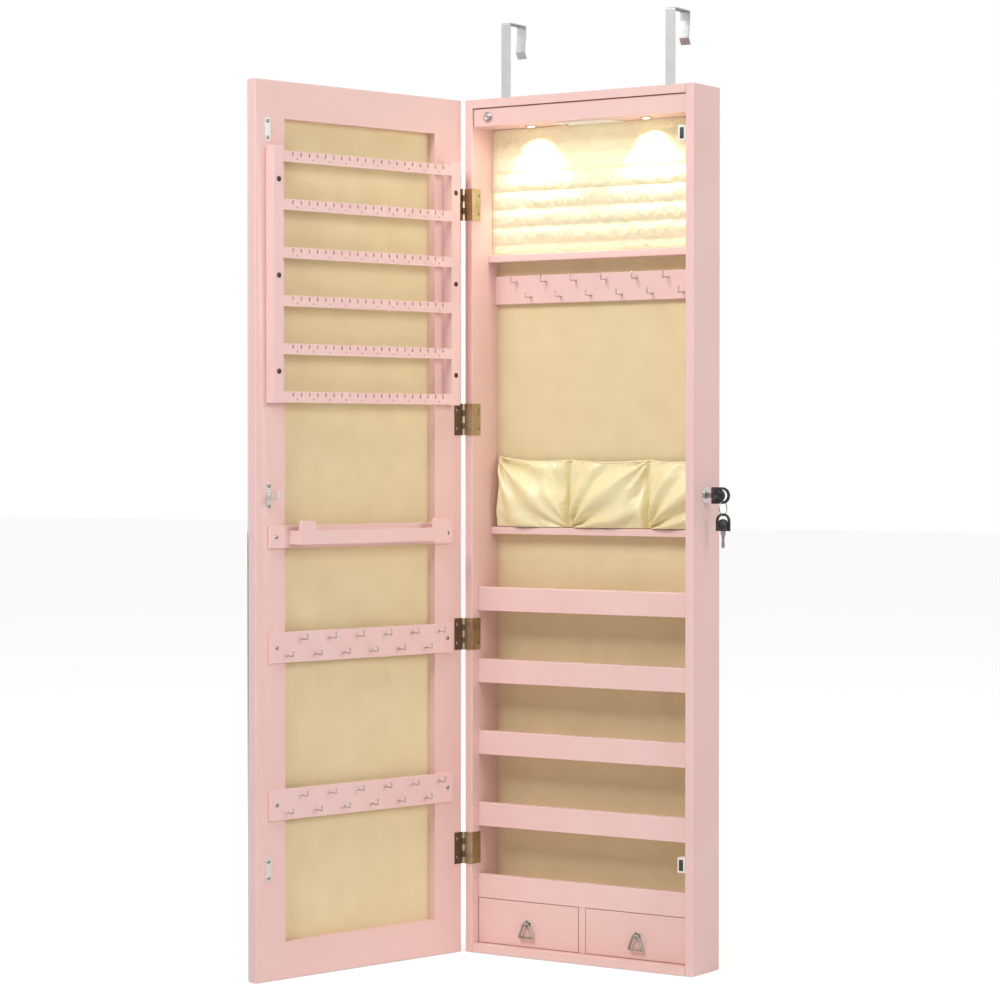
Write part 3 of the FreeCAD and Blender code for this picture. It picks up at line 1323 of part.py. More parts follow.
def earring_bars():
    item = body("earring_bars")
    top = d.bar_low + d.bar_height
    bar = sketch(item, "XZ_Plane", post_out)
    rectangle(bar, -rack_half, rack_half, d.bar_low, top)
    bars = pad(item, bar, d.bar_t)
    pattern(item, [bars], "Z_Axis", d.bar_pitch, d.bar_count)
    first_x = -d.slot_pitch * (d.slot_count - 1) / 2
    slot_high = top - d.slot_down
    slot = sketch(item, "XZ_Plane", post_out)
    rectangle(slot, first_x - d.slot_width / 2, first_x + d.slot_width / 2, slot_high - d.slot_height, slot_high)
    slots = pocket(item, slot, d.bar_t)
    pattern(item, [slots], "X_Axis", d.slot_pitch, d.slot_count, "Z_Axis", d.bar_pitch, d.bar_count)
    dot = sketch(item, "XZ_Plane", post_out)
    ngon(dot, first_x + d.slot_pitch / 2, top - d.dot_down, d.dot_r, SHANK_SIDES)
    dots = pocket(item, dot, d.bar_t)
    pattern(item, [dots], "X_Axis", 2 * d.slot_pitch, d.slot_count / 2, "Z_Axis", d.bar_pitch, d.bar_count)


earring_posts()
earring_bars()


# %% bracelet holder

brace_half = d.brace_length / 2
brace_low = d.brace_z - d.brace_height / 2
brace_out = door_out - d.brace_reach
bar_half = d.brace_bar_length / 2
brace_bar_high = d.brace_bar_low + d.brace_bar_height


def bracelet_board():
    item = board("bracelet_board", -brace_half, brace_half, brace_low, brace_low + d.brace_height, rail_out, door_out)
    arm_out = brace_out + d.brace_bar_t
    for side in (-1, 1):
        arm = sketch(item, "XZ_Plane", arm_out)
        rectangle(arm, side * (bar_half - d.brace_arm_t), side * bar_half, d.brace_bar_low, brace_bar_high)
        pad(item, arm, rail_out - arm_out)
    places = [(side * (brace_half - d.rail_screw_end), d.brace_z) for side in (-1, 1)]
    holes(item, "XZ_Plane", rail_out, d.rail_t, shank_hole_r, SHANK_SIDES, places)


def bracelet_bar():
    item = body("bracelet_bar")
    tip_high = brace_bar_high + d.brace_tip_height
    tip_x = bar_half - d.brace_tip_width
    right = [(bar_half, d.brace_bar_low), (bar_half, tip_high), (tip_x, tip_high), (tip_x, brace_bar_high)]
    left = [(-x, z) for x, z in right[::-1]]
    pad(item, outline(sketch(item, "XZ_Plane", brace_out), right + left), d.brace_bar_t)
    fillet(item, d.brace_round, lambda p: near(p.z, tip_high) and (near(abs(p.x), bar_half) or near(abs(p.x), tip_x)))


bracelet_board()
bracelet_bar()


# %% hook rails of the door

rail_half = d.door_rail_length / 2


def door_hook_rails():
    item = body("door_hook_rails")
    rail = sketch(item, "XZ_Plane", rail_out)
    low = d.door_rail_z_low - d.door_rail_height / 2
    rectangle(rail, -rail_half, rail_half, low, low + d.door_rail_height)
    rails = pad(item, rail, d.rail_t)
    pattern(item, [rails], "Z_Axis", d.door_rail_pitch, d.door_rail_count)
    hole = sketch(item, "XZ_Plane", rail_out)
    for side in (-1, 1):
        ngon(hole, side * (rail_half - d.rail_screw_end), d.door_rail_z_low, shank_hole_r, SHANK_SIDES)
    drilled = pocket(item, hole, d.rail_t)
    pattern(item, [drilled], "Z_Axis", d.door_rail_pitch, d.door_rail_count)


door_hook_rails()
door_hooks = body("door_hooks")
door_first = hook_rows(door_hooks, d.door_rail_z_low, rail_out, -1)
pattern(door_hooks, door_first, "X_Axis", 2 * d.hook_pitch, d.hook_count / 2, "Z_Axis", d.door_rail_pitch,
        d.door_rail_count)


# %% strike plates and keeper

strike_out = door_out - d.strike_t
keeper_out = door_out - d.keeper_t
keeper_x = cam_x - d.keeper_tab_gap - d.keeper_t
keeper_mid_x = keeper_x + d.keeper_t / 2
STRIKE_SCREWS = [(d.strike_x, z + way * d.strike_screws / 2) for z in (d.catch_z_low, d.catch_z_high)
                 for way in (-1, 1)]
KEEPER_SCREWS = [(keeper_mid_x, d.lock_z + way * d.keeper_screws / 2) for way in (-1, 1)]


def strike_plates():
    """Thin plates with round ends, which meet the magnets."""
    item = body("strike_plates")
    half_w = d.strike_width / 2
    straight = d.strike_height / 2 - half_w
    for z in (d.catch_z_low, d.catch_z_high):
        middle = sketch(item, "XZ_Plane", strike_out, d.strike_x, z)
        pad(item, rectangle(middle, -half_w, half_w, -straight, straight), d.strike_t)
        ends = sketch(item, "XZ_Plane", strike_out, d.strike_x, z)
        for way in (-1, 1):
            ngon(ends, as_size(0), way * straight, half_w, POST_SIDES)
        pad(item, ends, d.strike_t)
    holes(item, "XZ_Plane", strike_out, d.strike_t, shank_hole_r, SHANK_SIDES, STRIKE_SCREWS)


def lock_keeper():
    """A plate with a tab that stands into the cabinet and a lip, bent outwards, behind the cam's hook."""
    item = body("lock_keeper")
    plate = sketch(item, "XZ_Plane", keeper_out, keeper_mid_x, d.lock_z)
    rectangle(plate, -d.keeper_width / 2, d.keeper_width / 2, -d.keeper_height / 2, d.keeper_height / 2)
    pad(item, plate, d.keeper_t)
    end_out = door_out - d.keeper_tab_length
    tab_x, lip_x = keeper_x + d.keeper_t, keeper_x + d.keeper_t + d.keeper_lip
    lip_out = end_out + d.keeper_t
    tab = sketch(item, "XY_Plane", d.lock_z - d.keeper_tab_height / 2)
    outline(tab, [(keeper_x, -end_out), (lip_x, -end_out), (lip_x, -lip_out), (tab_x, -lip_out),
                  (tab_x, -keeper_out), (keeper_x, -keeper_out)])
    pad(item, tab, d.keeper_tab_height)
    holes(item, "XZ_Plane", keeper_out, d.keeper_t, shank_hole_r, SHANK_SIDES, KEEPER_SCREWS)


door_hinge_leaves()
hinge_pins()
strike_plates()
lock_keeper()


# %% screws of the door


def door_screws():
    leaf_x = d.leaf_screw_side - half_out
    rail_x, board_x = rail_half - d.rail_screw_end, brace_half - d.rail_screw_end
    rail_heights = [d.door_rail_z_low + k * d.door_rail_pitch for k in range(round(d.door_rail_count.number))]
    sides = (-1, 1)
    seats = [(leaf_x, z, door_out, 0) for z in hinge_screw_heights()]
    seats += [(side * d.post_x, z, post_out, d.post_depth) for side in sides for z in post_screw_heights]
    seats += [(side * rail_x, z, rail_out, d.rail_t) for side in sides for z in rail_heights]
    seats += [(side * board_x, d.brace_z, rail_out, d.rail_t) for side in sides]
    seats += [(x, z, strike_out, d.strike_t) for x, z in STRIKE_SCREWS]
    seats += [(x, z, keeper_out, d.keeper_t) for x, z in KEEPER_SCREWS]
    group("door_screws", [screw(x, out, z, TO_REAR, through) for x, z, out, through in seats])
    for stile, side in ((door_stile_hinge, -1), (door_stile_lock, 1)):
        centres = [(x, z) for x, z, _, _ in seats if x.number * side > 0]
        holes(stile, "XZ_Plane", door_out, d.screw_bite, shank_hole_r, SHANK_SIDES, centres)


door_screws()

# the door stands open, turned about its hinge line
hinge_point = Vector(hinge_x.number, -hinge_out.number, 0)
door_place = Placement(Vector(0, 0, 0), Rotation(Vector(0, 0, 1), -d.door_open.number), hinge_point)
for item in PARTS[CABINET_PARTS:]:
    item.Placement = door_place


# %% check and write

doc.recompute()
for item in doc.Objects:
    if "Invalid" in item.State or "Error" in item.State:
        raise RuntimeError(f"{item.Label} did not build: {item.State}")
for item in doc.Objects:
    if item.TypeId == "PartDesign::Pocket" and item.Shape.Volume >= item.BaseFeature.Shape.Volume - 1e-6:
        raise RuntimeError(f"{item.Label} of {item.getParentGeoFeatureGroup().Label} cut nothing")
for item in PARTS:
    if item.Shape.isNull() or not item.Shape.isValid():
        raise RuntimeError(f"{item.Label} has no valid shape")

os.makedirs("parts", exist_ok=True)
for item in PARTS:
    item.Shape.exportStep(f"parts/{item.Label}.step")
print(f"{len(PARTS)} nodes written")
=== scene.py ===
# %% [markdown]
# # A jewelry cabinet with a mirror door
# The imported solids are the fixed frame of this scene. Each one already stands in its place, in metres, with
# the back of the cabinet on the wall plane and the open front towards -Y. This script adds what solids
# can't show: paint, cloth, soft edges, fine metalwork and light.

# %% Load the frame
import json
import math
import bpy
from mathutils import Matrix, Vector, noise

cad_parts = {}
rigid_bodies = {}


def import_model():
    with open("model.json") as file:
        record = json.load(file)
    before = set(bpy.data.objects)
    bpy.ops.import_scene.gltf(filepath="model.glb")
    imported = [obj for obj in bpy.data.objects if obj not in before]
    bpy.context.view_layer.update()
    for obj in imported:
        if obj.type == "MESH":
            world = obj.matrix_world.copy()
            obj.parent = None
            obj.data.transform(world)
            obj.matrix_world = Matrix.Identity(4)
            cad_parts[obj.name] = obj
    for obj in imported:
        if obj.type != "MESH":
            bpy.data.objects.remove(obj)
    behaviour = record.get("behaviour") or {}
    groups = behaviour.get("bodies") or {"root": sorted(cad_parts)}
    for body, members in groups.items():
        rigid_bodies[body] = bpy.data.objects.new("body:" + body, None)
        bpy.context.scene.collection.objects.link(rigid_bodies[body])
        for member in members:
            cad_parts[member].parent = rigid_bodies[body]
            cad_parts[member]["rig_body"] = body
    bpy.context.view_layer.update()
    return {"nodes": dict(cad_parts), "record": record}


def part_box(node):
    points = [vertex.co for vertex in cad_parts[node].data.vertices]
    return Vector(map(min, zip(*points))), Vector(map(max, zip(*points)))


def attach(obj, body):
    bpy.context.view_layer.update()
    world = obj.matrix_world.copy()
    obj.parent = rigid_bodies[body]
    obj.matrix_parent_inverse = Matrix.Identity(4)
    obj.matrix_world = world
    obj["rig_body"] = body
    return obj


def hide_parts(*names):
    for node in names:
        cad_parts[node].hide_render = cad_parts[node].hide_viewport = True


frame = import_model()
nodes = frame["nodes"]
print("solids loaded:", len(nodes))

# %% [markdown]
# ## Camera
# The camera stands to the right of the open cabinet with a long lens, so the side board and the inner
# face of the door both show. The place was solved from the edges of the boards, so it is given as numbers.

# %% Camera
bpy.ops.object.camera_add(location=(2.1732, -3.5162, 0.7077), rotation=(math.pi / 2 - 0.0167, 0, 0.5886))
camera = bpy.context.object
camera.name = "camera"
camera.data.lens = 106.57
camera.data.sensor_width = 36
camera.data.clip_end = 100
bpy.context.scene.camera = camera
print("camera lens:", camera.data.lens)

# %% [markdown]
# ## Small helpers
# An operator acts on everything that is selected, so each piece starts from an empty selection. At the end
# of a piece its place goes into its mesh, which leaves its object at the origin like the solids.

# %% Helpers for selection and place
MM = 0.001
HINGE = Vector((-0.1876, -0.073, 0))
OPEN_TURN = Matrix.Rotation(math.radians(-103), 4, "Z")
DOOR_TURN = Matrix.Translation(HINGE) @ OPEN_TURN @ Matrix.Translation(-HINGE)


def deselect():
    if bpy.context.object and bpy.context.object.mode != "OBJECT":
        bpy.ops.object.mode_set(mode="OBJECT")
    bpy.ops.object.select_all(action="DESELECT")


def only(piece):
    deselect()
    piece.select_set(True)
    bpy.context.view_layer.objects.active = piece
    return piece


def settle(piece, name=None):
    """Puts a piece's place into its mesh."""
    only(piece)
    bpy.ops.object.transform_apply(location=True, rotation=True, scale=True)
    if name:
        piece.name = name
    return piece


def apply_all(piece):
    only(piece)
    for modifier in list(piece.modifiers):
        bpy.ops.object.modifier_apply(modifier=modifier.name)
    return piece


def bevel(piece, width, segments=2, angle=35):
    """Rounds the edges that are sharper than an angle."""
    made = piece.modifiers.new("edges", "BEVEL")
    made.width = width * MM
    made.segments = segments
    made.limit_method = "ANGLE"
    made.angle_limit = math.radians(angle)
    made.harden_normals = False
    apply_all(piece)
    bpy.ops.object.shade_smooth_by_angle(angle=math.radians(angle))
    return piece


def join(pieces, name):
    """Makes one piece of several."""
    deselect()
    for piece in pieces:
        piece.select_set(True)
    bpy.context.view_layer.objects.active = pieces[0]
    if len(pieces) > 1:
        bpy.ops.object.join()
    pieces[0].name = name
    return pieces[0]


def copy_to(piece, offset):
    """A copy with its own mesh, moved by an offset in millimetres."""
    twin = piece.copy()
    twin.data = piece.data.copy()
    bpy.context.scene.collection.objects.link(twin)
    twin.data.transform(Matrix.Translation(Vector(offset) * MM))
    return twin


def on_door(piece):
    """Turns a piece that was made at the closed door to where the open door stands."""
    piece.data.transform(DOOR_TURN)
    return piece

# %% [markdown]
# ## Building blocks
# Most fittings are turned or bent metal. A turned piece starts as a cylinder whose end face is inset and
# pushed to a shape. A bent wire starts as a path that is given a thickness and made into a mesh.

# %% Helpers for turned, cut and bent pieces


def block(name, low, high, edge=0.4, segments=2):
    """A plate between two corners in millimetres, with eased edges."""
    deselect()
    middle = [(a + b) / 2 * MM for a, b in zip(low, high)]
    bpy.ops.mesh.primitive_cube_add(size=1, location=middle)
    piece = bpy.context.object
    piece.scale = [(b - a) * MM for a, b in zip(low, high)]
    settle(piece, name)
    return bevel(piece, edge, segments) if edge else piece


AXES = {"x": (0, math.pi / 2, 0), "-y": (math.pi / 2, 0, 0), "y": (-math.pi / 2, 0, 0), "z": (0, 0, 0),
        "-z": (math.pi, 0, 0), "-x": (0, -math.pi / 2, 0)}


def turned(name, centre, radius, length, axis, sides=40, edge=0.25, steps=()):
    """A round piece from its base centre along an axis. Each step insets the end face and moves it."""
    deselect()
    bpy.ops.mesh.primitive_cylinder_add(vertices=sides, radius=radius * MM, depth=length * MM,
                                        location=(0, 0, length * MM / 2))
    piece = bpy.context.object
    settle(piece, name)
    bpy.ops.object.mode_set(mode="EDIT")
    bpy.ops.mesh.select_mode(type="FACE")
    bpy.ops.mesh.select_all(action="DESELECT")
    bpy.ops.object.mode_set(mode="OBJECT")
    for face in piece.data.polygons:
        face.select = face.normal.z > 0.9
    bpy.ops.object.mode_set(mode="EDIT")
    for inset, move in steps:
        bpy.ops.mesh.inset(thickness=inset * MM)
        bpy.ops.transform.translate(value=(0, 0, move * MM))
    bpy.ops.object.mode_set(mode="OBJECT")
    piece.rotation_euler = AXES[axis]
    piece.location = Vector(centre) * MM
    settle(piece)
    return bevel(piece, edge, 2, 30) if edge else piece


def wire(name, points, radius, closed=False, fine=6, sides=3):
    """A bent wire along a smooth path through points in millimetres."""
    deselect()
    bpy.ops.curve.primitive_nurbs_path_add()
    piece = bpy.context.object
    curve = piece.data
    curve.splines.clear()
    path = curve.splines.new("NURBS")
    path.points.add(len(points) - 1)
    for place, point in zip(path.points, points):
        place.co = (*(Vector(point) * MM), 1)
    path.order_u = 3
    path.use_cyclic_u = closed
    path.use_endpoint_u = not closed
    path.resolution_u = fine
    curve.bevel_depth = radius * MM
    curve.bevel_resolution = sides
    curve.use_fill_caps = not closed
    only(piece)
    bpy.ops.object.convert(target="MESH")
    settle(piece, name)
    bpy.ops.object.shade_smooth_by_angle(angle=math.radians(50))
    return piece

# %% [markdown]
# ## Shared patterns
# Paint, cloth and metal need the same few effects at different scales: soft blotches, a fine grain and a
# weave. Each is a node group that is built once.

# %% Node groups


def group_tree(name, inputs, outputs):
    tree = bpy.data.node_groups.new(name, "ShaderNodeTree")
    for label, kind, value in inputs:
        socket = tree.interface.new_socket(name=label, in_out="INPUT", socket_type=kind)
        socket.default_value = value
    for label, kind in outputs:
        tree.interface.new_socket(name=label, in_out="OUTPUT", socket_type=kind)
    return tree, tree.nodes.new("NodeGroupInput"), tree.nodes.new("NodeGroupOutput")


def make_blotch_group():
    """Slow changes of tone over a surface."""
    ins = [("Color", "NodeSocketColor", (1, 1, 1, 1)), ("Shade", "NodeSocketColor", (0, 0, 0, 1)),
           ("Scale", "NodeSocketFloat", 20.0), ("Amount", "NodeSocketFloat", 0.3)]
    outs = [("Color", "NodeSocketColor"), ("Mask", "NodeSocketFloat")]
    tree, given, out = group_tree("blotches", ins, outs)
    place = tree.nodes.new("ShaderNodeTexCoord")
    cloud = tree.nodes.new("ShaderNodeTexNoise")
    cloud.inputs["Detail"].default_value = 5
    ramp = tree.nodes.new("ShaderNodeMapRange")
    ramp.inputs["From Min"].default_value = 0.35
    ramp.inputs["From Max"].default_value = 0.7
    scaled = tree.nodes.new("ShaderNodeMath")
    scaled.operation = "MULTIPLY"
    mix = tree.nodes.new("ShaderNodeMix")
    mix.data_type = "RGBA"
    link = tree.links.new
    link(place.outputs["Object"], cloud.inputs["Vector"])
    link(given.outputs["Scale"], cloud.inputs["Scale"])
    link(cloud.outputs["Fac"], ramp.inputs["Value"])
    link(ramp.outputs["Result"], scaled.inputs[0])
    link(given.outputs["Amount"], scaled.inputs[1])
    link(scaled.outputs[0], mix.inputs["Factor"])
    link(given.outputs["Color"], mix.inputs["A"])
    link(given.outputs["Shade"], mix.inputs["B"])
    link(mix.outputs["Result"], out.inputs["Color"])
    link(scaled.outputs[0], out.inputs["Mask"])
    return tree


def make_grain_group():
    """Fine height for paint, plastic and brushed metal; Stretch draws the grain out along Z."""
    ins = [("Scale", "NodeSocketFloat", 900.0), ("Stretch", "NodeSocketVector", (1, 1, 1))]
    tree, given, out = group_tree("grain", ins, [("Height", "NodeSocketFloat")])
    place = tree.nodes.new("ShaderNodeTexCoord")
    stretch = tree.nodes.new("ShaderNodeVectorMath")
    stretch.operation = "MULTIPLY"
    fine = tree.nodes.new("ShaderNodeTexNoise")
    fine.inputs["Detail"].default_value = 3
    link = tree.links.new
    link(place.outputs["Object"], stretch.inputs[0])
    link(given.outputs["Stretch"], stretch.inputs[1])
    link(stretch.outputs[0], fine.inputs["Vector"])
    link(given.outputs["Scale"], fine.inputs["Scale"])
    link(fine.outputs["Fac"], out.inputs["Height"])
    return tree


def make_weave_group():
    """Crossed threads, with the height of the threads and a mask of the gaps between them."""
    ins = [("Threads per metre", "NodeSocketFloat", 1400.0)]
    outs = [("Height", "NodeSocketFloat"), ("Gaps", "NodeSocketFloat")]
    tree, given, out = group_tree("weave", ins, outs)
    place = tree.nodes.new("ShaderNodeTexCoord")
    waves = []
    for direction in ("X", "Z"):
        wave = tree.nodes.new("ShaderNodeTexWave")
        wave.bands_direction = direction
        wave.inputs["Distortion"].default_value = 0.6
        tree.links.new(place.outputs["Object"], wave.inputs["Vector"])
        tree.links.new(given.outputs["Threads per metre"], wave.inputs["Scale"])
        waves.append(wave)
    both = tree.nodes.new("ShaderNodeMath")
    both.operation = "MULTIPLY"
    gaps = tree.nodes.new("ShaderNodeMath")
    gaps.operation = "SUBTRACT"
    gaps.inputs[0].default_value = 1
    tree.links.new(waves[0].outputs["Fac"], both.inputs[0])
    tree.links.new(waves[1].outputs["Fac"], both.inputs[1])
    tree.links.new(both.outputs[0], gaps.inputs[1])
    tree.links.new(both.outputs[0], out.inputs["Height"])
    tree.links.new(gaps.outputs[0], out.inputs["Gaps"])
    return tree


blotches = make_blotch_group()
grain = make_grain_group()
weave = make_weave_group()
print("node groups:", [tree.name for tree in bpy.data.node_groups])

# %% [markdown]
# ## Finishes
# The boards are sprayed a satin pink. The linings are a short-pile velvet, the pouch is a smooth satin, and
# the fittings are plated, bronzed or brushed metal. Every finish takes its tone from the photograph's
# mid-tones, with a slow change of tone and a fine height over it.

# %% Material helper


def linear(red, green, blue):
    """A colour that is written in 0 to 255 display values, as the shader wants it."""
    parts = [value / 255 for value in (red, green, blue)]
    return tuple(p / 12.92 if p <= 0.04045 else ((p + 0.055) / 1.055) ** 2.4 for p in parts) + (1,)


def finish(name, colour, shade=None, tone_scale=12.0, tone=0.35, rough=0.45, rough_swing=0.1, metal=0.0,
           grain_scale=900.0, grain_height=0.05, stretch=(1, 1, 1), threads=0.0, **sockets):
    """A finish with a slow change of tone, a change of gloss and a fine height."""
    material = bpy.data.materials.new(name)
    material.use_nodes = True
    tree = material.node_tree
    shader = tree.nodes["Principled BSDF"]
    tones = tree.nodes.new("ShaderNodeGroup")
    tones.node_tree = blotches
    tones.inputs["Color"].default_value = colour
    tones.inputs["Shade"].default_value = shade or tuple(c * 0.8 for c in colour[:3]) + (1,)
    tones.inputs["Scale"].default_value = tone_scale
    tones.inputs["Amount"].default_value = tone
    gloss = tree.nodes.new("ShaderNodeMath")
    gloss.operation = "MULTIPLY_ADD"
    gloss.inputs[1].default_value = rough_swing
    gloss.inputs[2].default_value = rough
    tree.links.new(tones.outputs["Mask"], gloss.inputs[0])
    tree.links.new(gloss.outputs[0], shader.inputs["Roughness"])
    tree.links.new(tones.outputs["Color"], shader.inputs["Base Color"])
    shader.inputs["Metallic"].default_value = metal
    height = tree.nodes.new("ShaderNodeGroup")
    height.node_tree = weave if threads else grain
    if threads:
        height.inputs["Threads per metre"].default_value = threads
    else:
        height.inputs["Scale"].default_value = grain_scale
        height.inputs["Stretch"].default_value = stretch
    bump = tree.nodes.new("ShaderNodeBump")
    bump.inputs["Strength"].default_value = 0.6
    bump.inputs["Distance"].default_value = grain_height * MM
    tree.links.new(height.outputs["Height"], bump.inputs["Height"])
    tree.links.new(bump.outputs["Normal"], shader.inputs["Normal"])
    for socket, value in sockets.items():
        shader.inputs[socket.replace("_", " ")].default_value = value
    return material


# %% The finishes
pink = finish("pink_paint", linear(238, 201, 195), linear(232, 192, 185), 9, 0.5, 0.42, 0.1,
              grain_scale=700, grain_height=0.06, Coat_Weight=0.12, Coat_Roughness=0.35)
pink_trim = finish("pink_trim_paint", linear(240, 204, 200), linear(234, 194, 189), 14, 0.5, 0.4, 0.1,
                   grain_scale=900, grain_height=0.05, Coat_Weight=0.15, Coat_Roughness=0.3)
card = finish("raw_card", linear(150, 118, 92), linear(122, 94, 72), 30, 0.6, 0.8, 0.1, grain_scale=500,
              grain_height=0.15)
velvet = finish("tan_velvet", linear(234, 217, 174), linear(224, 205, 160), 24, 0.5, 0.85, 0.1,
                threads=900, grain_height=0.12, Sheen_Weight=0.25, Sheen_Roughness=0.4)
plush = finish("cream_plush", linear(243, 234, 200), linear(234, 222, 184), 55, 0.5, 0.85, 0.1,
               grain_scale=1500, grain_height=0.35, Sheen_Weight=0.45, Sheen_Roughness=0.4)
satin = finish("cream_satin", linear(240, 229, 184), linear(228, 213, 162), 40, 0.4, 0.34, 0.12,
               threads=2600, grain_height=0.03, Sheen_Weight=0.3, Sheen_Roughness=0.3)
plated = finish("plating", linear(206, 203, 200), linear(160, 155, 150), 60, 0.5, 0.16, 0.12, 1.0,
                grain_scale=1500, grain_height=0.01)
bright_plated = finish("bright_plating", linear(236, 233, 229), linear(212, 207, 202), 60, 0.5, 0.18, 0.12,
                       0.8, grain_scale=1500, grain_height=0.01)
bronze = finish("antique_bronze", linear(196, 182, 152), linear(146, 124, 100), 90, 0.5, 0.28, 0.15, 1.0,
                grain_scale=1400, grain_height=0.08)
brushed = finish("brushed_strap", linear(208, 208, 206), linear(176, 176, 174), 30, 0.5, 0.28, 0.12, 1.0,
                 grain_scale=1500, grain_height=0.06, stretch=(1, 1, 0.03))
steel = finish("steel", linear(172, 168, 162), linear(128, 122, 114), 120, 0.6, 0.3, 0.15, 1.0,
               grain_scale=1300, grain_height=0.04)
white_plastic = finish("white_plastic", linear(236, 233, 226), linear(226, 222, 213), 40, 0.4, 0.45, 0.1,
                       grain_scale=1600, grain_height=0.05)
black_plastic = finish("black_plastic", linear(16, 15, 16), linear(28, 26, 26), 80, 0.5, 0.34, 0.15,
                       grain_scale=1800, grain_height=0.06)
# A darker bronze with painted shade in it, for the door's hinge leaves and their knuckles.
shaded_bronze = finish("shaded_bronze", linear(122, 98, 78), linear(84, 64, 50), 90, 0.5, 0.34, 0.15, 0.9,
                     grain_scale=900, grain_height=0.05)
dark_screw = finish("dark_screw", linear(92, 74, 66), linear(60, 48, 44), 200, 0.5, 0.35, 0.15, 0.8,
                    grain_scale=1200, grain_height=0.04)
magnet = finish("magnet", linear(52, 50, 50), linear(84, 80, 78), 200, 0.6, 0.5, 0.2, 0.3, grain_scale=900,
                grain_height=0.08)
cell_wrap = finish("cell_wrap", linear(60, 92, 70), linear(40, 66, 50), 60, 0.5, 0.3, 0.1, grain_scale=800)
wire_coat = finish("wire_coat", linear(170, 34, 30), linear(130, 24, 22), 100, 0.5, 0.5, 0.1, grain_scale=900)
silver_glass = finish("silvered_glass", linear(232, 236, 236), linear(222, 228, 228), 3, 0.3, 0.02, 0.02, 1.0,
                      grain_scale=40, grain_height=0.002, Coat_Weight=0.4, Coat_Roughness=0.02)
lens = finish("lamp_lens", linear(255, 250, 230), linear(255, 240, 205), 200, 0.4, 0.2, 0.1, grain_scale=1200)
lens.node_tree.nodes["Principled BSDF"].inputs["Emission Color"].default_value = (1, 0.9, 0.66, 1)
lens.node_tree.nodes["Principled BSDF"].inputs["Emission Strength"].default_value = 6
print("finishes:", len(bpy.data.materials))

SLOT_FINISH = {
    "pink_board": pink, "pink_trim": pink_trim, "back_card": card, "lining": velvet, "cushion": plush,
    "satin": satin, "mirror": silver_glass, "chrome": plated, "bronze": bronze, "strap": brushed,
    "steel": steel, "white_plastic": white_plastic, "black_plastic": black_plastic, "lamp": lens,
    "cell": cell_wrap, "wire": wire_coat,
}
node_slot = {row["node"]: row["material_slot"] for row in frame["record"]["subparts"]}


def dress(piece, material):
    piece.data.materials.clear()
    piece.data.materials.append(material)
    return piece


for name, solid in nodes.items():
    dress(solid, SLOT_FINISH[node_slot[name]])


def place(piece, body, slot, material, *replaced):
    """Dresses a finished piece and lets it ride on its body."""
    dress(piece, material)
    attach(piece, body)
    if replaced:
        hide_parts(*replaced)
    return piece

# %% [markdown]
# ## Painted boards
# Sprayed boards have no sharp edge: sanding and paint leave a radius of half a millimetre that catches the
# light. The solids have sharp edges, so each board is copied, its triangles are merged to plain faces and
# its long edges are bevelled. The short edges of screw holes stay as they are.

# %% Soften the boards


def softened(name, width=0.7, shortest=7.0, segments=3):
    solid = nodes[name]
    piece = solid.copy()
    piece.data = solid.data.copy()
    piece.parent = None
    for key in list(piece.keys()):
        del piece[key]
    bpy.context.scene.collection.objects.link(piece)
    only(piece)
    bpy.ops.object.mode_set(mode="EDIT")
    bpy.ops.mesh.select_all(action="SELECT")
    bpy.ops.mesh.remove_doubles(threshold=1e-6)
    bpy.ops.mesh.dissolve_limited(angle_limit=math.radians(1))
    bpy.ops.object.mode_set(mode="OBJECT")
    mesh = piece.data
    weights = mesh.attributes.new("bevel_weight_edge", "FLOAT", "EDGE")
    for edge in mesh.edges:
        start, end = (mesh.vertices[k].co for k in edge.vertices)
        weights.data[edge.index].value = 1.0 if (end - start).length > shortest * MM else 0.0
    made = piece.modifiers.new("edges", "BEVEL")
    made.width = width * MM
    made.segments = segments
    made.limit_method = "WEIGHT"
    apply_all(piece)
    bpy.ops.object.shade_smooth_by_angle(angle=math.radians(32))
    flat = piece.modifiers.new("flat faces", "WEIGHTED_NORMAL")
    flat.weight = 100
    flat.keep_sharp = True
    apply_all(piece)
    piece.name = "soft_" + name
    slot = node_slot[name]
    body = solid["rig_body"]
    return place(piece, body, slot, SLOT_FINISH[slot], name)


BOARDS = ["side_panel_left", "side_panel_right", "top_panel", "bottom_panel", "light_fascia", "ring_shelf",
          "necklace_rail", "pouch_shelf", "tier_shelf_1", "tier_shelf_2", "tier_shelf_3", "tier_shelf_4",
          "tier_shelf_5", "drawer_divider", "drawer_left", "drawer_right", "door_rail_top",
          "door_rail_bottom", "door_stile_hinge", "door_stile_lock", "earring_posts", "bracelet_board",
          "bracelet_bar", "door_hook_rails", "hanging_brackets"]
for name in BOARDS:
    softened(name, 0.35 if name == "hanging_brackets" else 0.8)
print("boards softened:", len(BOARDS))

# The long edges alone are eased where a board is full of small cuts, or is glass.
for name in ("earring_bars", "mirror_glass", "light_soffit"):
    softened(name, 0.6, 80)
# Pressed and turned metal has a finer radius.
for name in ("cabinet_hinge_leaves", "door_hinge_leaves", "hinge_pins", "lock_housing", "lock_plug",
             "lock_cam", "switch_housing", "lock_keeper", "strike_plates", "battery_cover"):
    softened(name, 0.22, 1.6, 2)
# The door's leaves are painted a darker bronze as painted shade, so the knuckles of the two leaves alternate
# light and dark.
dress(bpy.data.objects["soft_door_hinge_leaves"], shaded_bronze)
for name in ("soft_lock_keeper", "soft_strike_plates", "soft_lock_housing"):
    dress(bpy.data.objects[name], bright_plated)

# %% [markdown]
# ## Hooks
# A hook is a steel wire pushed through a small collar and bent up at its end, with a rounded tip so that it
# doesn't scratch a chain. One hook is bent along a smooth path, and the rows are copies of it. The door's
# hooks point the other way and then swing open with the door.

# %% One hook and its rows
HOOK_PITCH = 24.85
HOOK_FIRST = -136.675


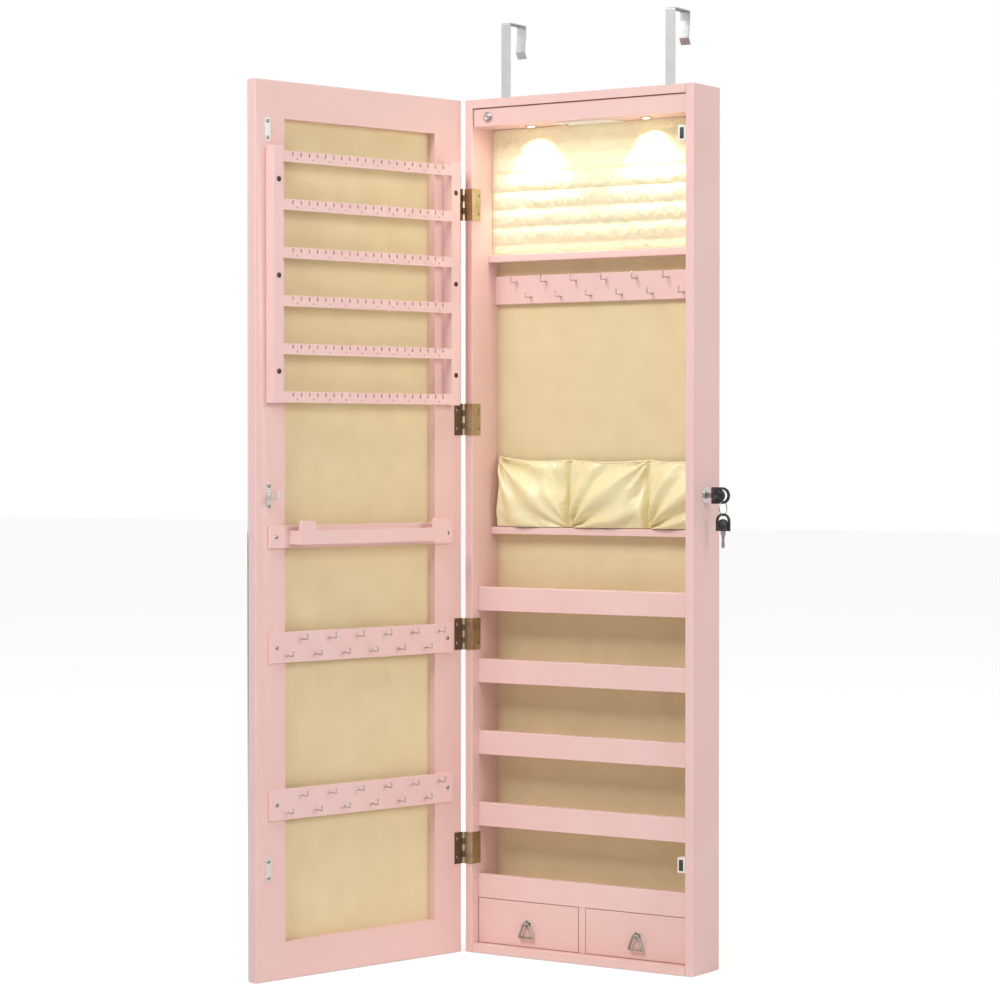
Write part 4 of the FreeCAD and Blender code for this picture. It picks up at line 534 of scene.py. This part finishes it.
def hook(name, way):
    """A hook with its root at the origin that points towards -Y (way -1) or +Y (way 1)."""
    route = [(0, 0, 0), (0, 5 * way, -0.3), (0, 11.5 * way, -0.9), (0, 14.3 * way, -1.0), (0, 14.2 * way, 2.2),
             (0, 13.9 * way, 5), (0, 14.1 * way, 6.6)]
    shaft = wire(name, route, 0.95, fine=5, sides=3)
    collar = turned(name + "_collar", (0, 0, 0), 2.2, 1.0, "-y" if way < 0 else "y", 20, 0.2, [(0.7, 0.7)])
    deselect()
    bpy.ops.mesh.primitive_uv_sphere_add(segments=12, ring_count=8, radius=1.3 * MM,
                                         location=(0, 14.1 * way * MM, 6.6 * MM))
    tip = settle(bpy.context.object, name + "_tip")
    only(tip)
    bpy.ops.object.shade_smooth()
    return join([shaft, collar, tip], name)


def hook_row(name, way, root_out, middles):
    first = hook(name + "_first", way)
    copies = []
    for middle in middles:
        for k in range(12):
            rise = 10.75 if k % 2 == 0 else -10.75
            copies.append(copy_to(first, (HOOK_FIRST + HOOK_PITCH * k, -root_out, middle + rise)))
    bpy.data.objects.remove(first)
    return join(copies, name)


place(hook_row("necklace_hook_row", -1, 13.9, [935]), "cabinet", "chrome", plated, "necklace_hooks")
place(on_door(hook_row("door_hook_rows", 1, 68.5, [235, 445])), "door", "chrome", plated, "door_hooks")

# %% [markdown]
# ## Screws
# A screw in a solid is a plain disc on a shank. The real one has a domed head with a cross recess. One head
# is turned, its cross is cut by two thin blocks, and a copy goes to the top face of each screw of the frame.

# %% One screw head and its places


def cut_with(piece, cutter):
    made = piece.modifiers.new("cut", "BOOLEAN")
    made.operation = "DIFFERENCE"
    made.solver = "EXACT"
    made.object = cutter
    apply_all(piece)
    bpy.data.objects.remove(cutter)
    return piece


def screw_head():
    head = turned("screw_head", (0, 0, -1.0), 2.65, 0.7, "z", 28, 0, [(0.25, 0.28), (0.8, 0.2), (0.8, 0.08)])
    cut_with(head, block("slot_a", (-1.75, -0.3, -0.45), (1.75, 0.3, 0.8), 0))
    cut_with(head, block("slot_b", (-0.3, -1.75, -0.45), (0.3, 1.75, 0.8), 0))
    only(head)
    bpy.ops.object.shade_smooth_by_angle(angle=math.radians(35))
    return head


def screw_tops(name):
    """The middle and the direction of each screw's head: its largest face with all of it behind."""
    mesh = nodes[name].data
    corner = {}
    owner = []
    for vertex in mesh.vertices:
        owner.append(corner.setdefault(tuple(round(c, 6) for c in vertex.co), len(corner)))
    root = list(range(len(corner)))

    def find(k):
        while root[k] != k:
            root[k] = root[root[k]]
            k = root[k]
        return k

    for face in mesh.polygons:
        ends = [find(owner[k]) for k in face.vertices]
        for end in ends[1:]:
            root[find(end)] = find(ends[0])
    members = {}
    for vertex in mesh.vertices:
        members.setdefault(find(owner[vertex.index]), []).append(vertex.co)
    flats = {}
    for face in mesh.polygons:
        screw = find(owner[face.vertices[0]])
        reach = max((co - face.center).dot(face.normal) for co in members[screw])
        if reach < 0.02 * MM:
            way = tuple(round(c, 2) + 0.0 for c in face.normal)
            area, total = flats.setdefault(screw, {}).get(way, (0, Vector()))
            flats[screw][way] = (area + face.area, total + face.center * face.area)
    tops = []
    for parts in flats.values():
        way, (area, total) = max(parts.items(), key=lambda item: item[1][0])
        tops.append((total / area, Vector(way).normalized()))
    return tops


RACK_SCREWS = (812.9, 940.2, 1067.5)


def set_screws(name, body, head):
    hinge_ones, plain_ones, dark_ones = [], [], []
    for number, (top, way) in enumerate(screw_tops(name)):
        on_rack = name == "door_screws" and min(abs(top.z - z * MM) for z in RACK_SCREWS) < 1.5 * MM
        beside_hinge = abs(top.x - HINGE.x) < 0.032 and abs(top.y - HINGE.y) < 0.032
        near_hinge = beside_hinge and not on_rack
        twin = copy_to(head, (0, 0, 0))
        seat = top - way * (0.4 * MM if beside_hinge else 0)
        growth = 1.35 if on_rack else 1
        spin = Matrix.Rotation(number * 0.9, 4, "Z") @ Matrix.Diagonal((growth, growth, 1, 1))
        facing = way.to_track_quat("Z", "Y").to_matrix().to_4x4()
        twin.data.transform(Matrix.Translation(seat) @ facing @ spin)
        (hinge_ones if near_hinge else dark_ones if on_rack else plain_ones).append(twin)
    place(join(plain_ones, name + "_plain"), body, "steel", steel, name)
    place(join(hinge_ones, name + "_hinges"), body, "steel", steel)
    if dark_ones:
        place(join(dark_ones, name + "_dark"), body, "steel", dark_screw)
    print(name, "screws:", len(plain_ones), "plain,", len(hinge_ones), "on hinges,", len(dark_ones), "dark")


one_head = screw_head()
set_screws("cabinet_screws", "cabinet", one_head)
set_screws("door_screws", "door", one_head)
bpy.data.objects.remove(one_head)

# %% [markdown]
# ## Drawer pulls
# Each drawer has a small round plate with a post, and a wire drop in the shape of a triangle hangs in the
# post. A smooth closed path rounds its corners only where two of its points stand close together.

# %% Pulls


def drop_route(x):
    """The triangle's corners, each with a point on both sides of it."""
    corners = [(-3.6, 45.2), (3.6, 45.2), (11.2, 26.4), (-11.2, 26.4)]
    route = []
    for k, corner in enumerate(corners):
        here = Vector(corner)
        before = here + (Vector(corners[k - 1]) - here).normalized() * 1.8
        after = here + (Vector(corners[(k + 1) % 4]) - here).normalized() * 1.8
        route.extend((x + spot.x, -62, spot.y) for spot in (before, here, after))
    return route


for side, x in (("left", -89.5), ("right", 89.5)):
    drop = wire(f"drop_{side}", drop_route(x), 1.6, closed=True, fine=8, sides=4)
    place(drop, f"pull_{side}", "steel", steel, f"pull_drop_{side}")
    rose = turned(f"rose_{side}", (x, -56.6, 45), 5.2, 0.7, "-y", 40, 0.15, [(0.7, 0.5), (1.0, -0.25)])
    stem = turned(f"stem_{side}", (x, -57.2, 45), 2.5, 6.6, "-y", 28, 0.3, [(0.7, 0.6), (0.6, 0.2)])
    place(join([rose, stem], f"pull_mount_{side}"), f"drawer_{side}", "steel", steel, f"pull_post_{side}")

# %% [markdown]
# ## Keys
# Both keys have a moulded black bow, square towards the blade and round at its end, with a crescent hole for
# the ring. The bow is a plate and a disc made one, and the crescent is what a disc leaves of another disc.

# %% Bows, blades and ring


def united(piece, other):
    made = piece.modifiers.new("unite", "BOOLEAN")
    made.operation = "UNION"
    made.solver = "EXACT"
    made.object = other
    apply_all(piece)
    bpy.data.objects.remove(other)
    return piece


def bow(name, reach, thick, length):
    """A bow in the XZ plane whose round end is centred on the origin and which runs towards -X."""
    half = thick / 2
    plate = block(name, (-length, -half, -reach), (0, half, reach), 0)
    disc = turned(name + "_disc", (0, half, 0), reach, thick, "-y", 64, 0)
    united(plate, disc)
    opening = turned(name + "_hole", (0, half + 1, 0), reach - 3.1, thick + 2, "-y", 48, 0)
    web = turned(name + "_web", (-5, half + 2, 0), reach - 2.7, thick + 4, "-y", 48, 0)
    cut_with(opening, web)
    cut_with(plate, opening)
    return bevel(plate, 0.5, 3, 40)


def blade(name, length, widths, thick):
    """A blade towards -X with a shoulder, a waist and a tip, and a groove along it."""
    piece = block(name, (-length, -thick / 2, -0.5), (0, thick / 2, 0.5), 0)
    only(piece)
    bpy.ops.object.mode_set(mode="EDIT")
    bpy.ops.mesh.select_all(action="SELECT")
    bpy.ops.mesh.subdivide(number_cuts=15)
    bpy.ops.object.mode_set(mode="OBJECT")
    last = len(widths) - 1
    for vertex in piece.data.vertices:
        share = -vertex.co.x / (length * MM) * last
        first = min(int(share), last - 1)
        width = widths[first] + (widths[first + 1] - widths[first]) * (share - first)
        in_groove = abs(vertex.co.z) < 0.12 * MM and 0.06 < share / last < 0.8
        vertex.co.z *= width
        if in_groove:
            vertex.co.y *= 0.55
    only(piece)
    bpy.ops.object.shade_smooth_by_angle(angle=math.radians(40))
    return piece


def shift(piece, turn, offset):
    piece.data.transform(Matrix.Translation(Vector(offset) * MM) @ Matrix.Rotation(turn, 4, "Y"))
    return piece


place(shift(bow("key_bow", 11.2, 3.2, 16.2), 0, (211.8, -39.2, 647.2)), "key", "black_plastic", black_plastic,
      "key_in_lock")
place(shift(blade("key_blade", 20.6, [7, 7, 7, 7, 7], 1.9), 0, (196.4, -39.2, 647.2)), "key", "steel", steel)
place(shift(bow("spare_bow", 10.75, 2.4, 13.2), -math.pi / 2, (213, -39.2, 612.65)), "spare_key",
      "black_plastic", black_plastic, "spare_key")
place(shift(blade("spare_blade", 24, [7, 7, 7, 4, 3.4, 3.2, 3.6, 4.8, 4.4, 1.6], 1.9), -math.pi / 2,
            (213, -39.2, 600.2)), "spare_key", "steel", steel)

turns = [2 * math.pi * 1.9 * k / 46 - math.pi / 2 for k in range(47)]
loop = [(213 - 0.45 + 0.9 * k / 46, -39.2 + 10.2 * math.cos(a), 629.95 + 10.2 * math.sin(a))
        for k, a in enumerate(turns)]
place(wire("split_ring", loop, 0.48, fine=3, sides=3), "key_ring", "steel", steel, "key_ring")

# %% [markdown]
# ## Lamps and button
# A lamp has a chromed rim with a shallow bowl and a domed lens. The switch has a chromed button with a dish.

# %% Lamps, button and catches
for side, x in (("left", -93.5), ("right", 93.5)):
    rim = turned(f"lamp_rim_{side}", (x, -42, 1162), 9, 1.4, "-z", 56, 0.2,
                 [(0.8, 0.4), (1.4, -0.2), (0.6, -0.9)])
    glass = turned(f"lamp_lens_{side}", (x, -42, 1161.4), 5.6, 0.5, "-z", 40, 0,
                   [(1.2, 0.5), (1.6, 0.3), (1.4, 0.1)])
    place(rim, "cabinet", "chrome", plated, *(["spot_lamps"] if side == "left" else []))
    place(glass, "cabinet", "lamp", lens)
button = turned("switch_cap", (-148, -56, 1174.5), 4.45, 15.2, "-y", 40, 0.3,
                [(0.7, 0.2), (0.5, -0.5), (1.2, -0.2)])
low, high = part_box("switch_button")
cap_front = min(v.co.y for v in button.data.vertices)
to_seat = ((low.x + high.x) / 2 + 0.148, low.y - cap_front, (low.z + high.z) / 2 - 1.1745)
button.data.transform(Matrix.Translation(to_seat))
place(button, "switch", "chrome", plated, "switch_button")

for name, z in (("low", 149), ("high", 1134)):
    case = block(f"catch_case_{name}", (161, -71.4, z - 10.5), (173, -57.4, z + 10.5), 0.8, 3)
    pole = block(f"catch_magnet_{name}", (164, -72.3, z - 7.5), (170, -64.3, z + 7.5), 0.3)
    place(case, "cabinet", "white_plastic", white_plastic, *(["magnetic_catches"] if name == "low" else []))
    place(pole, "cabinet", "black_plastic", magnet)

# %% [markdown]
# ## Ring cushion
# The cushion is plush over soft rolls, sewn down along seams, so rings are held between two rolls. Cloth
# simulation gives the small puckers: a sheet with a little too much cloth is pinned along the seams and
# blown up from behind. Then its rim is drawn back to the lining, which closes the form.

# %% Sheets that are pinned and blown up


def sheet_grid(name, across, up, low, high):
    """An upright sheet that faces the front, between two corners (x, z) in millimetres."""
    deselect()
    bpy.ops.mesh.primitive_grid_add(x_subdivisions=across, y_subdivisions=up, size=1,
                                    rotation=(math.pi / 2, 0, 0))
    piece = bpy.context.object
    settle(piece, name)
    for vertex in piece.data.vertices:
        vertex.co.x = (low[0] + (high[0] - low[0]) * (vertex.co.x + 0.5)) * MM
        vertex.co.z = (low[1] + (high[1] - low[1]) * (vertex.co.z + 0.5)) * MM
    return piece


def blown(piece, pinned, pressure, slack, frames, stiffness=8.0):
    """Lets pinned cloth with some slack swell under pressure."""
    pins = piece.vertex_groups.new(name="pins")
    for index, weight in pinned.items():
        pins.add([index], weight, "REPLACE")
    cloth = piece.modifiers.new("cloth", "CLOTH")
    values = cloth.settings
    values.quality = 6
    values.mass = 0.15
    values.tension_stiffness = stiffness
    values.compression_stiffness = stiffness
    values.shear_stiffness = stiffness / 2
    values.bending_stiffness = 0.02
    values.vertex_group_mass = "pins"
    values.pin_stiffness = 5
    values.shrink_min = -slack
    values.shrink_max = -slack
    values.use_pressure = True
    values.uniform_pressure_force = pressure
    values.effector_weights.gravity = 0
    cloth.collision_settings.use_collision = False
    cloth.point_cache.frame_start = 1
    cloth.point_cache.frame_end = frames
    for frame_number in range(1, frames + 1):
        bpy.context.scene.frame_set(frame_number)
    apply_all(piece)
    bpy.context.scene.frame_set(1)
    piece.vertex_groups.clear()
    return piece


# %% The cushion
SEAMS = [984.3, 998, 1023, 1048, 1073, 1098, 1123, 1148, 1161.7]
SEAM_OUT = 19.5
cushion = sheet_grid("padded_rolls", 150, 90, (-172.7, 984.3), (172.7, 1161.7))
rows = sorted(set(round(v.co.z / MM, 3) for v in cushion.data.vertices))
seam_rows = set(min(rows, key=lambda z: abs(z - seam)) for seam in SEAMS)
pinned = {}
start_out = {}
for vertex in cushion.data.vertices:
    z = round(vertex.co.z / MM, 3)
    x = vertex.co.x / MM
    above = min((s for s in SEAMS if s >= z - 0.01), default=SEAMS[-1])
    below = max((s for s in SEAMS if s <= z + 0.01), default=SEAMS[0])
    share = (z - below) / max(above - below, 0.01)
    end = min(1, (173 - abs(x)) / 7)
    fullness = 3.2 - 2.5 * min(max((z - 1080) / 30, 0), 1)
    crown = fullness * (above - below) / 25 * math.sin(math.pi * share) ** 0.7 * (0.55 + 0.45 * end)
    pucker = 0.5 * noise.noise(Vector((x / 5, z / 9, 3))) * math.sin(math.pi * share)
    vertex.co.y = -(SEAM_OUT + crown + pucker) * MM
    start_out[vertex.index] = vertex.co.copy()
    if z in seam_rows or abs(x) > 172.5:
        pinned[vertex.index] = 1.0
blown(cushion, pinned, 2.0, 0.035, 14)
for vertex in cushion.data.vertices:
    move = vertex.co - start_out[vertex.index]
    if move.length > 1.9 * MM:
        vertex.co = start_out[vertex.index] + move.normalized() * 1.9 * MM
    vertex.co.x = max(-0.1728, min(0.1728, vertex.co.x))
    vertex.co.z = max(0.9842, min(1.1618, vertex.co.z))
    vertex.co.y = max(-0.0279, vertex.co.y)
only(cushion)
bpy.ops.object.mode_set(mode="EDIT")
bpy.ops.mesh.select_mode(type="EDGE")
bpy.ops.mesh.select_all(action="DESELECT")
bpy.ops.mesh.select_non_manifold()
bpy.ops.mesh.extrude_region_move(TRANSFORM_OT_translate={"value": (0, 0.004, 0)})
bpy.ops.object.mode_set(mode="OBJECT")
for vertex in cushion.data.vertices:
    if vertex.select:
        vertex.co.y = -5.9 * MM
bpy.ops.object.mode_set(mode="EDIT")
bpy.ops.mesh.edge_face_add()
bpy.ops.mesh.select_all(action="SELECT")
bpy.ops.mesh.normals_make_consistent(inside=False)
bpy.ops.object.mode_set(mode="OBJECT")
only(cushion)
bpy.ops.object.shade_smooth_by_angle(angle=math.radians(60))
place(cushion, "cabinet", "cushion", plush, "ring_cushion")
print("cushion points:", len(cushion.data.vertices))

# %% [markdown]
# ## Pouch
# The pouch is one sheet of satin, gathered into three pockets. It is held at both ends, along its foot and
# at two seams, and its top edge is an elastic hem that draws it in. A simulation alone gives folds at random
# places, so the bellies, the deep creases at the seams and the folds that fan out from them are drawn by
# formula. Cloth with some slack then softens them, and no point may move more than two millimetres.

# %% The pouch
POCKETS = [-170.6, -46.7, 81.3, 170.6]
# Where the folds of a pocket fan out from: the place across and up, the first fold's turn and the depth.
FANS = {
    1: [(0, 1, 0.4, 6.2), (1, 0, 0.2, 3)],
    2: [(0, 0, -0.6, 7.6), (1, 1, 0.5, 2.5)],
    3: [(0, 0, -0.4, 7.4)],
}
pouch = sheet_grid("satin_pouch", 172, 50, (-170.6, 600.2), (170.6, 694))
pouch_start = {}
pouch_pins = {}
for vertex in pouch.data.vertices:
    x, z = vertex.co.x / MM, vertex.co.z / MM
    pocket_end = next(k for k in range(1, 4) if x <= POCKETS[k] + 0.001)
    begin, finish_x = POCKETS[pocket_end - 1], POCKETS[pocket_end]
    share = min(max((x - begin) / (finish_x - begin), 0), 1)
    rise = (z - 600.2) / 93.8
    from_seam = min(share, 1 - share) * (finish_x - begin)
    belly = 20 + 13 * math.sin(math.pi * min(rise * 0.85 + 0.15, 1)) - 2 * rise
    crease = 1 - math.exp(-((from_seam / 3.4) ** 2))
    bulge = (0.4 + 0.6 * math.sin(math.pi * share) ** 0.7) * crease
    fold = 0
    for fan_x, fan_z, first_fold, strength in FANS[pocket_end]:
        along = abs(share - fan_x) * (finish_x - begin) / 93.8 + 0.03
        up = abs(rise - fan_z) + 0.03
        drift = 0.5 * noise.noise(Vector((x / 45, z / 45, 1)))
        depth = strength * math.exp(-0.8 * math.hypot(along, up))
        fold += depth * math.sin(13 * math.atan2(up, along) + first_fold + drift)
    gather = 1.0 * math.sin(x * 0.8 + 2 * rise) * rise ** 3 * math.exp(-((from_seam / 16) ** 2))
    out = 8.5 + (belly - 8.5) * bulge + (fold + gather) * min(1, bulge * 1.6)
    sag = 3.2 * math.sin(math.pi * share) ** 0.8 - (6 * (1 - share) ** 2 if pocket_end == 1 else 0)
    vertex.co.y = -max(out, 8.5) * MM
    vertex.co.z = (z - sag * rise ** 2) * MM
    pouch_start[vertex.index] = vertex.co.copy()
    at_seam = min(abs(x - p) for p in POCKETS) < 1.01
    if at_seam or rise < 0.01:
        pouch_pins[vertex.index] = 1.0
    elif rise > 0.985:
        pouch_pins[vertex.index] = 0.25
blown(pouch, pouch_pins, 0.35, 0.02, 9, 5.0)
for vertex in pouch.data.vertices:
    move = vertex.co - pouch_start[vertex.index]
    if move.length > 2 * MM:
        vertex.co = pouch_start[vertex.index] + move.normalized() * 2 * MM
    vertex.co.x = max(-0.1715, min(0.1715, vertex.co.x))
    vertex.co.y = max(-0.0385, min(-0.0075, vertex.co.y))
    vertex.co.z = max(0.6001, min(0.702, vertex.co.z))
columns = {}
for vertex in pouch.data.vertices:
    key = round(pouch_start[vertex.index].x / MM, 2)
    if key not in columns or vertex.co.z > columns[key].z:
        columns[key] = vertex.co.copy()
hem_line = [tuple(columns[key] / MM) for key in sorted(columns)][1:-1:2]
hem = wire("pouch_hem", hem_line, 1.35, fine=2, sides=3)
thick = pouch.modifiers.new("cloth thickness", "SOLIDIFY")
thick.thickness = 0.0009
thick.offset = 0
smooth = pouch.modifiers.new("smooth", "SUBSURF")
smooth.levels = smooth.render_levels = 1
apply_all(pouch)
bpy.ops.object.shade_smooth()
place(pouch, "cabinet", "satin", satin, "pouch")
place(hem, "cabinet", "satin", satin)

# %% [markdown]
# ## Light and ground
# A soft box high on the left, one far on the right and an even sky give the flat light of a product
# photograph. Two spots and a weak strip behind the fascia are the light of the cabinet's own lamps. Only the
# camera and reflections see a white surround, so no extra light falls on the cabinet.

# %% Stage, lamps and sky
deselect()
bpy.ops.mesh.primitive_plane_add(size=40, location=(0, 0, -0.0015))
ground = settle(bpy.context.object, "ground")
ground_finish = bpy.data.materials.new("pale_ground")
ground_finish.use_nodes = True
ground_tree = ground_finish.node_tree
ground_shader = ground_tree.nodes["Principled BSDF"]
ground_shader.inputs["Base Color"].default_value = (0.86, 0.86, 0.86, 1)
ground_shader.inputs["Roughness"].default_value = 0.9
rays = ground_tree.nodes.new("ShaderNodeLightPath")
seen = ground_tree.nodes.new("ShaderNodeMath")
seen.operation = "MULTIPLY"
seen.inputs[1].default_value = 0.62
ground_shader.inputs["Emission Color"].default_value = (1, 1, 1, 1)
ground_tree.links.new(rays.outputs["Is Camera Ray"], seen.inputs[0])
ground_tree.links.new(seen.outputs[0], ground_shader.inputs["Emission Strength"])
dress(ground, ground_finish)

sky = bpy.data.worlds.new("sky")
bpy.context.scene.world = sky
sky.use_nodes = True
sky_tree = sky.node_tree
backing = sky_tree.nodes["Background"]
backing.inputs["Color"].default_value = (1, 1, 1, 1)
white = sky_tree.nodes.new("ShaderNodeBackground")
white.inputs["Color"].default_value = (1, 1, 1, 1)
white.inputs["Strength"].default_value = 1.0
backing.inputs["Strength"].default_value = 0.31
sky_rays = sky_tree.nodes.new("ShaderNodeLightPath")
direct = sky_tree.nodes.new("ShaderNodeMath")
direct.operation = "MAXIMUM"
choice = sky_tree.nodes.new("ShaderNodeMixShader")
sky_tree.links.new(sky_rays.outputs["Is Camera Ray"], direct.inputs[0])
sky_tree.links.new(sky_rays.outputs["Is Glossy Ray"], direct.inputs[1])
sky_tree.links.new(direct.outputs[0], choice.inputs[0])
sky_tree.links.new(backing.outputs[0], choice.inputs[1])
sky_tree.links.new(white.outputs[0], choice.inputs[2])
sky_tree.links.new(choice.outputs[0], sky_tree.nodes["World Output"].inputs["Surface"])


def soft_box(name, place_at, target, size, power, colour=(1, 1, 1)):
    deselect()
    bpy.ops.object.light_add(type="AREA", location=place_at)
    lamp = bpy.context.object
    lamp.name = name
    lamp.data.size = size
    lamp.data.energy = power
    lamp.data.color = colour
    aim = Vector(target) - Vector(place_at)
    lamp.rotation_euler = aim.to_track_quat("-Z", "Y").to_euler()
    return lamp


soft_box("front_box", (-0.3, -2.6, 3.0), (0, 0, 0.6), 1.4, 73)
soft_box("right_box", (3.5, -0.35, 1.8), (0, 0, 0.6), 1.5, 51)
fill = soft_box("lamp_fill", (0, -0.088, 1.14), (0, 0, 1.06), 0.3, 0.06, (1, 0.96, 0.82))
fill.data.shape = "RECTANGLE"
fill.data.size_y = 0.03
fill.visible_camera = False
for side, x in (("left", -0.0935), ("right", 0.0935)):
    deselect()
    bpy.ops.object.light_add(type="SPOT", location=(x, -0.045, 1.1575))
    glow = bpy.context.object
    glow.name = "glow_" + side
    glow.data.energy = 1.25
    glow.data.color = (1, 0.96, 0.78)
    glow.data.spot_size = math.radians(84)
    glow.data.spot_blend = 0.3
    glow.data.shadow_soft_size = 0.015
    glow.rotation_euler = (math.radians(20), 0, 0)
bpy.context.scene.view_settings.view_transform = "Standard"
